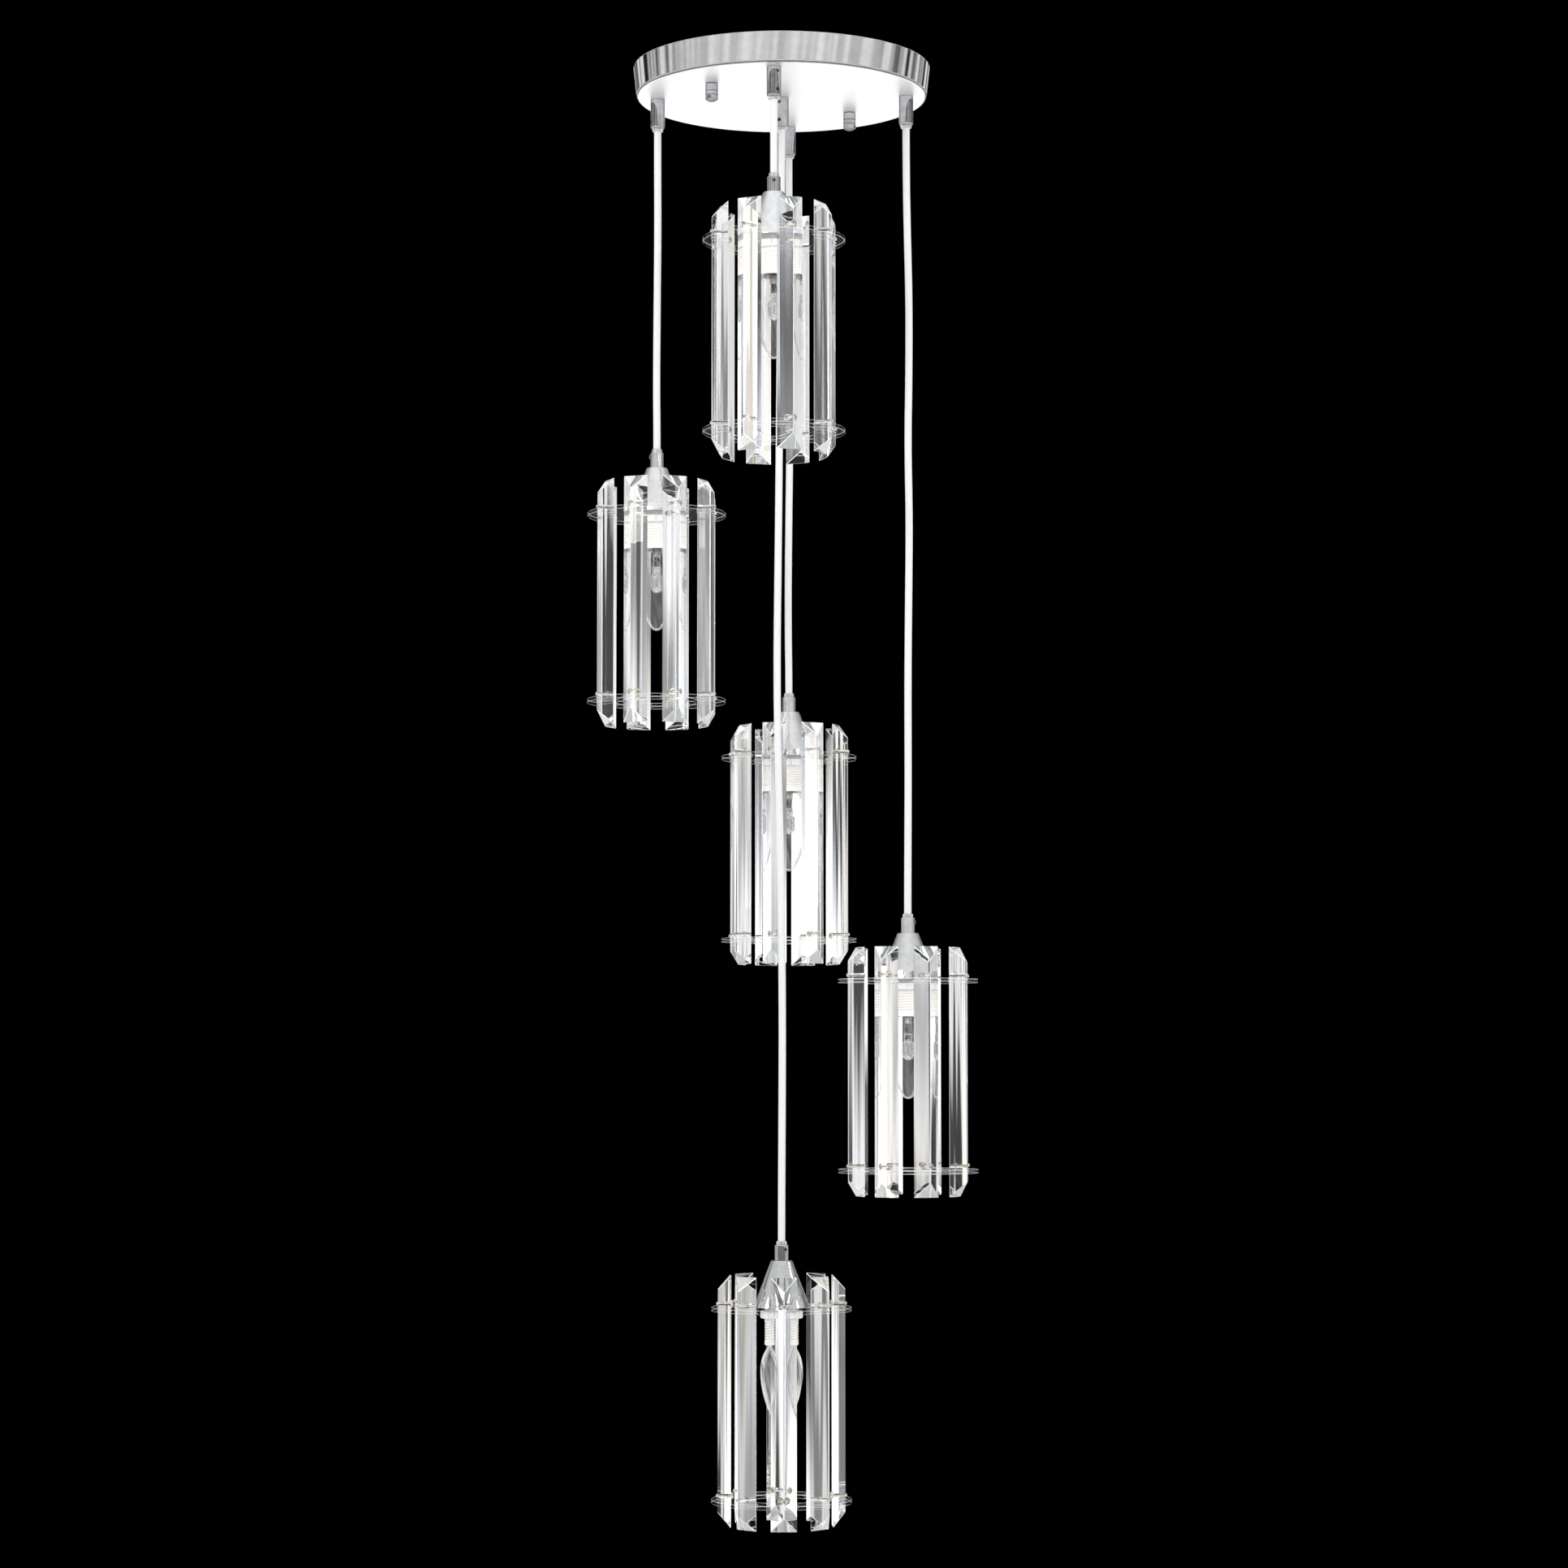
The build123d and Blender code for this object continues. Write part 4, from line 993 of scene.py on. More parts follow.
@dataclass
class Pattern:
    """A modelled piece with its finish, ready to be placed.

    The stem is the name of the piece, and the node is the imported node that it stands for.
    """

    stem: str
    shape: bpy.types.Object
    finish: Coating
    node: str

    def dressed(self) -> "Pattern":
        """Give the shape its finish, unless its faces have theirs already.

        Returns:
            The pattern itself.
        """
        if not self.shape.data.materials:
            self.shape.data.materials.append(self.finish.material)
        return self

    def stood(self, suffix: str = "") -> bpy.types.Object:
        """Let the shape itself stand for its node and ride on the node's body.

        Args:
            suffix: What the names of the piece and the node end with.

        Returns:
            The piece.
        """
        self.shape.name = self.shape.data.name = self.stem + suffix
        node = self.node + suffix
        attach(self.shape, frame["nodes"][node]["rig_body"])
        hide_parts(node)
        LOG.info("%s: %d faces", self.shape.name, len(self.shape.data.polygons))
        return self.shape

    def placed(self, suffix: str, matrix: Matrix) -> bpy.types.Object:
        """Copy the shape to a place and let the copy stand for its node.

        Args:
            suffix: What the names of the copy and the node end with.
            matrix: The move, in metres.

        Returns:
            The copy.
        """
        shape = copied(self.shape, self.stem + suffix, matrix)
        return Pattern(self.stem, shape, self.finish, self.node).stood(suffix)


# ---------------------------------------------------------------------------------------------
# Cables
# ---------------------------------------------------------------------------------------------
@dataclass
class Cable:
    """One clear cable with its two twisted strands, in millimetres."""

    place: Hanging
    radius: float = 3.0
    top_run: float = 34.0
    end_run: float = 26.0
    end_rise: float = 43.1
    in_gland: float = 2.0
    strand_radius: float = 0.62
    strand_spread: float = 0.95
    strand_pitch: float = 42.0
    strand_steps: int = 14

    def route(self) -> list[Vector]:
        """List the route's points.

        Returns:
            The points, in metres, from the gland down.
        """
        x, y = self.place.x, self.place.y
        end = self.place.disc_top + self.end_rise
        points = [(x, y, PIVOT + self.in_gland), (x, y, PIVOT - self.top_run)]
        points += [(x + dx, y + dy, PIVOT - drop) for drop, dx, dy in self.place.waves]
        if self.place.waves:
            points.append((x, y, end + self.end_run))
        points.append((x, y, end))
        return [Vector(point) * MM for point in points]

    def strands(self, sheath: bpy.types.Object, name: str) -> bpy.types.Object:
        """Twist two strands round the route's own line.

        Args:
            sheath: The route's curve, with no thickness.
            name: The strands' name.

        Returns:
            The strands as one mesh.
        """
        mesh = bpy.data.meshes.new_from_object(sheath.evaluated_get(bpy.context.evaluated_depsgraph_get()))
        places = [vertex.co.copy() for vertex in mesh.vertices]
        bpy.data.meshes.remove(mesh)
        step = self.strand_pitch * MM / self.strand_steps
        even = [places[0]]
        for place in places[1:]:
            while (place - even[-1]).length >= step:
                even.append(even[-1].lerp(place, step / (place - even[-1]).length))
        runs = []
        for side in (0, math.pi):
            angles = [math.tau * number / self.strand_steps + side for number in range(len(even))]
            offsets = [Vector((math.cos(a), math.sin(a), 0)) * self.strand_spread * MM for a in angles]
            runs.append([middle + offset for middle, offset in zip(even, offsets)])
        return meshed(thickened(line(name, runs, "POLY"), self.strand_radius, 2))

    def build(self, finishes: Finishes) -> None:
        """Args:
            finishes: The light's finishes.
        """
        suffix = f"_{self.place.index}"
        body = frame["nodes"][f"cable{suffix}"]["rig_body"]
        route = self.route()
        sheath = line(f"cable_sheath{suffix}", [route], steps=16)
        strands = self.strands(sheath, f"cable_strands{suffix}")
        thickened(sheath, self.radius, 6)
        for piece, finish in ((sheath, finishes.sheath), (strands, finishes.strand)):
            piece.data.materials.append(finish.material)
            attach(piece, body)
        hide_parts(f"cable{suffix}")


# ---------------------------------------------------------------------------------------------
# Canopy
# ---------------------------------------------------------------------------------------------
@dataclass
class Canopy:
    """The canopy and what is fixed to it, in millimetres."""

    finishes: Finishes
    rim_radius: float = 125.0
    floor_radius: float = 122.2
    height: float = 25.0
    wall: float = 1.2
    edge_round: float = 2.5
    gland_hole: float = 5.0
    stud_hole: float = 2.15
    gland_radius: float = 6.0
    gland_length: float = 24.5
    gland_round: float = 1.6
    bore: float = 3.5
    spigot_radius: float = 4.75
    spigot_top: float = -19.8
    screw_radius: float = 1.5
    screw_tip: float = 3.1
    screw_sunk: float = 0.4
    screw_heights: tuple[float, float] = (-29.0, -44.3)
    edge: float = 0.25
    lip: float = 0.35
    spigot_rings: int = 4
    ring_pitch: float = 1.2
    ring_depth: float = 0.3
    collar_bore: float = 3.3
    collar_foot: float = 3.6
    collar_radius: float = 4.6
    collar_height: float = 2.5
    collar_round: float = 0.4
    nut_radius: float = 5.3
    nut_shoulder: float = 0.8
    nut_length: float = 15.5
    nut_bore: float = 2.1
    nut_bore_depth: float = 11.0
    nut_grooves: tuple[float, float] = (6.2, 9.6)
    groove_depth: float = 0.7
    groove_width: float = 1.1
    groove_slants: tuple[float, float] = (0.28, 0.27)
    dome_radius: float = 7.484
    dome_edge: float = -44.9
    lead_radius: float = 1.6
    lead_start: float = -18.0
    lead_level: float = -7.5
    tail: tuple[tuple[float, float], ...] = ((0, -17.8), (2.7, -17.8), (3, -18.1), (3, -46.6), (0, -46.6))

    def cup(self) -> bpy.types.Object:
        """Turn the cup and cut its holes.

        Returns:
            The cup.
        """
        low = -self.height
        slope = (self.rim_radius - self.floor_radius) / self.height
        lean = math.degrees(math.atan(slope))
        centre_z = low + self.edge_round
        side = self.floor_radius + slope * self.edge_round
        centre = (side - self.edge_round / math.cos(math.radians(lean)), centre_z)
        outer = arc(centre, self.edge_round, -90, -lean, 10)
        inner = arc(centre, self.edge_round - self.wall, -lean, -90, 10)
        lip = self.lip
        outline = [(self.gland_hole, low), *outer, (self.rim_radius - lip * slope, -lip)]
        outline += [(self.rim_radius - lip / 2, 0), (self.rim_radius - self.wall + lip / 2, 0)]
        outline += [(self.rim_radius - self.wall, -lip), *inner, (self.gland_hole, low + self.wall)]
        cup = turned("canopy_cup", outline, steps=192)
        places = [(*place, self.gland_hole) for place in (NEAR, LEFT, FAR, RIGHT)]
        places += [(*place, self.stud_hole) for place in STUDS]
        drills = [laid(drill(radius, low - 3, low + 5), moved(x, y, 0)) for x, y, radius in places]
        return smoothed(cut(cup, drills), Shading.TURNED)

    def gland(self) -> bpy.types.Object:
        """Turn one gland with its spigot and drill its two side holes.

        Returns:
            The gland, on the Z axis.
        """
        low = -self.height - self.gland_length
        spigot = []
        for ring in range(self.spigot_rings):
            top = self.spigot_top - 0.2 - ring * self.ring_pitch
            spigot += [(self.spigot_radius, top), (self.spigot_radius - self.ring_depth, top - self.ring_pitch / 2)]
        mouth = arc((self.gland_radius - self.gland_round, low + self.gland_round), self.gland_round, 0, -90, 6)
        outline = [(self.bore, self.spigot_top), *spigot, (self.spigot_radius, -self.height)]
        outline += [(self.gland_radius - self.edge, -self.height), (self.gland_radius, -self.height - self.edge)]
        outline += [*mouth, (self.bore + self.ring_depth, low), (self.bore, low + self.ring_depth)]
        gland = turned("gland", outline, steps=56)
        for height in self.screw_heights:
            hole = drill(self.screw_radius + 0.1, 0, self.gland_radius + 1, Axis.OUTWARD)
            cut(gland, [laid(hole, moved(0, 0, height))])
        return smoothed(gland, Shading.TURNED)

    def collar(self) -> bpy.types.Object:
        """Turn one clear flared collar.

        Returns:
            The collar, on the Z axis.
        """
        top = -self.height - self.gland_length
        low = top - self.collar_height
        lip = arc((self.collar_radius - self.collar_round, low + self.collar_round), self.collar_round, 0, -90, 4)
        outline = [(self.collar_bore, top), (self.collar_radius, top), *lip, (self.collar_foot, low)]
        return lathed("collar", outline, steps=48)

    def cap_nut(self) -> bpy.types.Object:
        """Turn one ringed nut with its domed end.

        Returns:
            The nut, on the Z axis.
        """
        low, radius, shoulder = -self.height, self.nut_radius, self.nut_shoulder
        bottom, root, (first, second) = low - self.nut_bore_depth, radius - self.groove_depth, self.groove_slants
        outline = [(0, bottom), (self.nut_bore, bottom), (self.nut_bore, low), (radius - shoulder, low)]
        outline.append((radius, low - shoulder))
        for drop in self.nut_grooves:
            top, foot = low - drop, low - drop - self.groove_width
            outline += [(radius, top), (root, top - first), (root, foot + second), (radius, foot)]
        outline += arc((0, low - self.nut_length + self.dome_radius), self.dome_radius, self.dome_edge, -90, 10)
        return lathed("cap_nut", outline, closed=False)

    def leads(self) -> bpy.types.Object:
        """Draw the sleeved leads and the clamped cable tails, and join them as one mesh.

        Returns:
            The leads as one mesh.
        """
        along = Vector(polar(1, BRACKET_TURN)).to_3d()
        across = Vector(polar(1, BRACKET_TURN + 90)).to_3d()
        bow, side, first, second = GLAND_CIRCLE / 4, 8.5, 46.5, 61.5
        corners = (
            [(-bow, -2.1 * bow), (first, -1.1 * bow), (first, -side)],
            [(-bow, 2.1 * bow), (first, 1.1 * bow), (first, side)],
            [(second, 1.2 * bow), (second, side)],
            [(second, -1.2 * bow), (second, -side)],
            [(39.0, 0.0)],
        )
        level = Vector((0, 0, self.lead_level))
        pieces = []
        for place, route in zip(PENDANTS, corners):
            points = [Vector((place.x, place.y, self.lead_start)), Vector((place.x, place.y, self.lead_level))]
            points += [along * s + across * t + level for s, t in route]
            pieces.append(meshed(thickened(line("lead", [[point * MM for point in points]]), self.lead_radius, 3)))
            pieces.append(laid(lathed("tail", self.tail, 32, closed=False), moved(place.x, place.y, 0)))
        return joined("leads", pieces)

    def build(self) -> None:
        """Make every piece of the canopy and give the kept nodes their finishes."""
        f = self.finishes
        glands = [moved(place.x, place.y, 0, place.gland_turn) for place in PENDANTS]
        screws = [gland @ moved(0, 0, height) for gland in glands for height in self.screw_heights]
        studs = [moved(x, y, 0) for x, y in STUDS]
        length = self.gland_radius - self.screw_sunk - self.screw_tip
        screw = laid(set_screw(self.screw_radius, length), moved(self.screw_tip, 0, 0))
        patterns = [
            Pattern("canopy_cup", self.cup(), f.drawn_chrome, "canopy"),
            Pattern("cable_glands", spread(self.gland(), "glands", glands), f.shaded_chrome, "canopy_glands"),
            Pattern("cable_collars", spread(self.collar(), "collars", glands), f.collar, "gland_collars"),
            Pattern("gland_screws", spread(screw, "screws", screws), f.set_screw, "gland_set_screws"),
            Pattern("ringed_nuts", spread(self.cap_nut(), "nuts", studs), f.shaded_chrome, "cap_nuts"),
            Pattern("sleeved_leads", self.leads(), f.sleeve, "canopy_leads"),
        ]
        for pattern in patterns:
            pattern.dressed().stood()
        kept = {"ceiling_bracket": f.zinc, "bracket_studs": f.zinc, "gland_locknuts": f.zinc, "terminal_block": f.white}
        for node, finish in kept.items():
            for slot in frame["nodes"][node].material_slots:
                slot.material = finish.material
            LOG.info("%s: kept with a new finish", node)


def set_screw(radius: float, length: float) -> bpy.types.Object:
    """Model a headless screw with a hexagon socket, its tip at the origin, along +X.

    Args:
        radius: The screw's radius, in millimetres.
        length: Its length, in millimetres.

    Returns:
        The screw.
    """
    outline = [(0, 0), (radius - 0.3, 0), (radius, 0.3), (radius, length - 0.2), (radius - 0.2, length), (0, length)]
    screw = turned("screw", outline, steps=24, closed=False)
    cut(screw, [bar("socket", regular(0.62 * radius, 6), 0.35 * length, length + 1)])
    return laid(smoothed(screw, Shading.TURNED), Axis.OUTWARD.value)


# ---------------------------------------------------------------------------------------------
# Shade
# ---------------------------------------------------------------------------------------------
@dataclass
class CordGrip:
    """The barrel over the cone, its set screw and its clear collar, in millimetres."""

    low: float = 38.0
    high: float = 51.0
    radius: float = 5.5
    bore: float = 3.35
    rod_hole: float = 4.1
    rod_top: float = 42.5
    screw_radius: float = 1.5
    screw_height: float = 47.4
    screw_tip: float = 3.1
    screw_proud: float = 1.0
    collar_height: float = 3.0
    collar_wall: float = 0.85

    def patterns(self, f: Finishes) -> list[Pattern]:
        """Model the grip's pieces round the shade's axis.

        Args:
            f: The light's finishes.

        Returns:
            The patterns.
        """
        outline = [(self.rod_hole, self.low), (self.radius - 0.2, self.low), (self.radius, self.low + 0.2)]
        outline += arc((self.radius - 0.6, self.high - 0.6), 0.6, 0, 90, 5)
        outline += [(self.bore + 0.2, self.high), (self.bore, self.high - 0.2)]
        outline += [(self.bore, self.rod_top), (self.rod_hole, self.rod_top)]
        hole = drill(self.screw_radius + 0.1, 0, self.radius + 1, Axis.OUTWARD)
        barrel = cut(turned("barrel", outline, steps=56), [laid(hole, moved(0, 0, self.screw_height))])
        length = self.radius + self.screw_proud - self.screw_tip
        screw = laid(set_screw(self.screw_radius, length), moved(self.screw_tip, 0, self.screw_height))
        outer = self.bore + self.collar_wall
        top = self.high + self.collar_height
        lip = arc((outer - 0.25, top - 0.25), 0.25, 0, 90, 4)
        collar = lathed("collar", [(self.bore, self.high), (outer, self.high), *lip, (self.bore, top)], steps=48)
        return [
            Pattern("grip_barrel", smoothed(barrel, Shading.TURNED), f.turned_chrome, "cord_grip"),
            Pattern("grip_screw", screw, f.set_screw, "cord_grip"),
            Pattern("grip_collar", collar, f.collar, "cord_grip"),
        ]


@dataclass
class Cone:
    """The spun chrome cone, in millimetres."""

    height: float = 38.0
    base_radius: float = 23.4
    top_radius: float = 8.7
    wall: float = 1.0
    top_thickness: float = 1.2
    top_round: float = 0.8
    rod_hole: float = 4.1

    def patterns(self, f: Finishes) -> list[Pattern]:
        """Model the cone round the shade's axis.

        Args:
            f: The light's finishes.

        Returns:
            The pattern.
        """
        slope = (self.base_radius - self.top_radius) / self.height
        lean = math.degrees(math.atan(slope))
        centre_z = self.height - self.top_round
        flank = self.base_radius - slope * centre_z
        centre = (flank - self.top_round / math.cos(math.radians(lean)), centre_z)
        room_base = self.base_radius - self.wall * math.hypot(1, slope)
        room_top = self.height - self.top_thickness
        outline = [(self.base_radius - 0.15, 0), (self.base_radius - 0.1, 0.25)]
        outline += [(self.base_radius - slope * z, z) for z in (12.0, 24.0)]
        outline += [*arc(centre, self.top_round, lean, 90, 6), (self.rod_hole, self.height)]
        outline += [(self.rod_hole, room_top), (room_base - slope * room_top, room_top), (room_base, 0)]
        return [Pattern("spun_cone", lathed("cone", outline, steps=96), f.turned_chrome, "shade_cone")]


@dataclass
class Prism:
    """The glass bars with their screws and the two discs that hold them, in millimetres."""

    count: int = 8
    back: float = 42.0
    depth: float = 11.0
    width: float = 22.0
    high: float = 26.5
    low: float = -179.5
    slant: float = 12.0
    chamfer: float = 0.5
    screw_radius: float = 1.3
    hole_radius: float = 1.45
    head_radius: float = 2.8
    head_height: float = 2.0
    screw_heights: tuple[float, float] = (3.0, -154.0)
    disc_radius: float = 57.98
    disc_thickness: float = 3.0
    disc_tops: tuple[float, float] = (0.0, -157.0)
    disc_holes: tuple[float, float] = (14.3, 33.0)
    clearance: float = 0.3
    disc_edge: float = 0.25
    head_round: float = 0.9
    slot_width: float = 0.7
    slot_length: float = 3.0
    thread_rings: int = 14
    thread_pitch: float = 0.72
    thread_depth: float = 0.2
    point: float = 0.5

    def turns(self) -> list[Matrix]:
        """Return the turn of each bar, with two of them either side of the front."""
        pitch = 360 / self.count
        return [moved(0, 0, 0, -90 + pitch / 2 + pitch * number) for number in range(self.count)]

    def section(self, growth: float = 0.0) -> Outline:
        """Return the three-sided section with its ridge along +X.

        Args:
            growth: By how much it grows all round.

        Returns:
            The three corners.
        """
        half = self.width / 2
        edge = math.hypot(half, self.depth)
        ridge = self.back + self.depth + growth * edge / half
        corner = half + growth * (edge + half) / self.depth
        return [(self.back - growth, -corner), (ridge, 0), (self.back - growth, corner)]

    def bars(self, f: Finishes) -> bpy.types.Object:
        """Model one bar, slant its ends, bevel its edges, drill it and set out the eight.

        Args:
            f: The light's finishes.

        Returns:
            The bars, with finishes of their own for the faces, the bevels and the ends.
        """
        piece = bar("prism", self.section(), self.low, self.high)
        for finish in (f.prism, f.prism_edge, f.prism_end):
            piece.data.materials.append(finish.material)
        for end, side in ((self.high, 1), (self.low, -1)):
            with edited(piece):
                bpy.ops.mesh.bisect(
                    plane_co=(self.back * MM, 0, end * MM),
                    plane_no=Vector((self.slant, 0, side * self.depth)).normalized(),
                    use_fill=True,
                    clear_outer=True,
                )
        with edited(piece):
            bpy.ops.mesh.remove_doubles(threshold=DOUBLES)
            bpy.ops.mesh.dissolve_limited(angle_limit=math.radians(1))
        for face in piece.data.polygons:
            face.material_index = 2 if abs(face.normal.z) > 0.3 else 0
        with edited(piece):
            bpy.ops.mesh.bevel(offset=self.chamfer * MM, segments=1, affect="EDGES", material=1)
            bpy.ops.mesh.select_all(action="SELECT")
            bpy.ops.mesh.normals_make_consistent(inside=False)
        reach = self.back + self.depth + 3
        holes = [drill(self.hole_radius, self.back - 3, reach, Axis.OUTWARD) for _ in self.screw_heights]
        cut(piece, [laid(hole, moved(0, 0, z)) for hole, z in zip(holes, self.screw_heights)])
        return spread(smoothed(piece, Shading.FACETED), "bars", self.turns())

    def screws(self) -> bpy.types.Object:
        """Model one pan-head screw with its thread and cross recess, and set out the sixteen.

        Returns:
            The screws as one mesh.
        """
        face = self.back - self.head_height
        tip = self.back + self.depth + 1.0
        radius, corner = self.screw_radius, self.head_round
        outline = [(0, face), *arc((self.head_radius - corner, face + corner), corner, -90, 0, 4)]
        outline += [(self.head_radius, self.back), (radius, self.back)]
        for ring in range(self.thread_rings):
            crest = self.back + 0.8 + ring * self.thread_pitch
            outline += [(radius, crest), (radius - self.thread_depth, crest + self.thread_pitch / 2)]
        outline += [(radius, tip - self.point), (radius - 0.4, tip), (0, tip)]
        screw = turned("screw", outline, steps=14, closed=False)
        for x, y in ((self.slot_width / 2, self.slot_length / 2), (self.slot_length / 2, self.slot_width / 2)):
            cut(screw, [bar("slot", [(-x, -y), (x, -y), (x, y), (-x, y)], face - 1, face + 1)])
        laid(smoothed(screw, Shading.TURNED), Axis.OUTWARD.value)
        places = [turn @ moved(0, 0, height) for turn in self.turns() for height in self.screw_heights]
        return spread(screw, "screws", places)

    def disc(self, f: Finishes, top: float, hole: float) -> bpy.types.Object:
        """Model a disc with its centre hole and the cut-outs for the bars.

        Args:
            f: The light's finishes.
            top: Height of its upper face.
            hole: Radius of its centre hole.

        Returns:
            The disc.
        """
        low = top - self.disc_thickness
        plate = turned("plate", [(hole, top), (self.disc_radius, top), (self.disc_radius, low), (hole, low)], steps=160)
        for turn in self.turns():
            cut(plate, [laid(bar("cut_out", self.section(self.clearance), low - 1, top + 1), turn)])
        for finish in (f.disc, f.disc_edge):
            plate.data.materials.append(finish.material)
        return smoothed(bevelled(plate, self.disc_edge, 1, 1), Shading.TURNED)

    def patterns(self, f: Finishes) -> list[Pattern]:
        """Model the bars, the screws and the discs.

        Args:
            f: The light's finishes.

        Returns:
            The patterns.
        """
        upper, lower = (self.disc(f, top, hole) for top, hole in zip(self.disc_tops, self.disc_holes))
        return [
            Pattern("crystal_bars", self.bars(f), f.prism, "prisms"),
            Pattern("pan_head_screws", self.screws(), f.plated, "prism_screws"),
            Pattern("disc_upper", upper, f.disc, "upper_disc"),
            Pattern("disc_lower", lower, f.disc, "lower_disc"),
        ]


@dataclass
class Lampholder:
    """The white lampholder with its thread, ring nut, sleeve, contact and rod, in millimetres."""

    radius: float = 14.0
    mouth: float = -31.0
    wall: float = 1.6
    shoulder: float = 6.0
    neck_radius: float = 11.0
    top: float = 22.0
    sleeve_low: float = -20.5
    sleeve_radius: float = 8.0
    sleeve_wall: float = 0.6
    rod_radius: float = 4.0
    rod_bore: float = 2.6
    rod_low: float = 16.0
    rod_high: float = 42.5
    nut_rim: float = 3.5
    nut_high: float = -3.0
    nut_low: float = -9.0
    notches: int = 12
    thread: Thread = Thread(14.0, -28.6, -10.8, 2.2, 0.7)
    nut_edge: float = 0.5
    notch_half: float = 1.0
    notch_depth: float = 0.8
    rod_rings: int = 25
    rod_pitch: float = 1.04
    rod_groove: float = 0.25

    def body(self) -> bpy.types.Object:
        """Turn the body and wind its thread.

        Returns:
            The body.
        """
        inner = self.radius - self.wall
        outline = [(0, self.rod_low), (self.rod_radius + 0.1, self.rod_low), (self.rod_radius + 0.1, self.top)]
        outline += [*arc((self.neck_radius - 0.6, self.top - 0.6), 0.6, 90, 0, 4)]
        outline += [(self.neck_radius, self.shoulder + 3.0), (self.radius, self.shoulder)]
        outline += rows(self.radius, self.thread.high, self.thread.low, 64)
        outline += [*arc((self.radius - 0.4, self.mouth + 0.4), 0.4, 0, -90, 4)]
        outline += [*arc((inner + 0.4, self.mouth + 0.4), 0.4, -90, -180, 4)]
        outline += [(inner, self.sleeve_low), (self.sleeve_radius, self.sleeve_low)]
        outline += [(self.sleeve_radius, 0), (0, 0)]
        body = wound(turned("body", outline, steps=72, closed=False), self.thread)
        return smoothed(body, Shading.MOULDED)

    def ring_nut(self) -> bpy.types.Object:
        """Turn the ring nut and cut its notches.

        Returns:
            The nut.
        """
        outer = self.radius + self.nut_rim
        hole = self.radius + 0.1
        edge, half, depth = self.nut_edge, self.notch_half, self.notch_depth
        outline = [(hole, self.nut_high), (outer - edge, self.nut_high), (outer, self.nut_high - edge)]
        outline += [(outer, self.nut_low + edge), (outer - edge, self.nut_low), (hole, self.nut_low)]
        nut = turned("nut", outline, steps=72)
        notch = [(outer - depth, -half), (outer + depth, -half), (outer + depth, half), (outer - depth, half)]
        turns = [moved(0, 0, 0, 360 * number / self.notches) for number in range(self.notches)]
        cut(nut, [spread(bar("notch", notch, self.nut_low - 1, self.nut_high + 1), "notches", turns)])
        return smoothed(nut, Shading.TURNED)

    def sleeve(self) -> bpy.types.Object:
        """Turn the screw sleeve and wind its thread.

        Returns:
            The sleeve.
        """
        inner = self.sleeve_radius - self.sleeve_wall
        thread = Thread(inner, self.sleeve_low + 1, -3.0, 2.82, -0.3)
        outline = [(self.sleeve_radius, self.sleeve_low + 0.1), (self.sleeve_radius, -0.1), (inner, -0.1)]
        outline += rows(inner, -3.0, self.sleeve_low + 1, 40) + [(inner, self.sleeve_low + 0.1)]
        return smoothed(wound(turned("sleeve", outline, steps=48), thread), Shading.MOULDED)

    def patterns(self, f: Finishes) -> list[Pattern]:
        """Model the lampholder's pieces.

        Args:
            f: The light's finishes.

        Returns:
            The patterns.
        """
        contact = [(0, -1.5), (1.6, -1.5), *arc((1.9, -1.0), 0.5, -90, 0, 3), (2.4, 0), (0, 0)]
        rod = [(self.rod_bore, self.rod_low), (self.rod_radius, self.rod_low)]
        for ring in range(self.rod_rings):
            crest = self.rod_low + 0.4 + ring * self.rod_pitch
            rod += [(self.rod_radius, crest), (self.rod_radius - self.rod_groove, crest + self.rod_pitch / 2)]
        rod += [(self.rod_radius, self.rod_high), (self.rod_bore, self.rod_high)]
        return [
            Pattern("holder_body", self.body(), f.white, "lampholder"),
            Pattern("holder_ring_nut", self.ring_nut(), f.white, "lampholder"),
            Pattern("holder_sleeve", self.sleeve(), f.brass, "lampholder"),
            Pattern("holder_contact", lathed("contact", contact, 32, closed=False), f.brass, "lampholder"),
            Pattern("holder_rod", lathed("rod", rod, 32), f.zinc, "lampholder"),
        ]


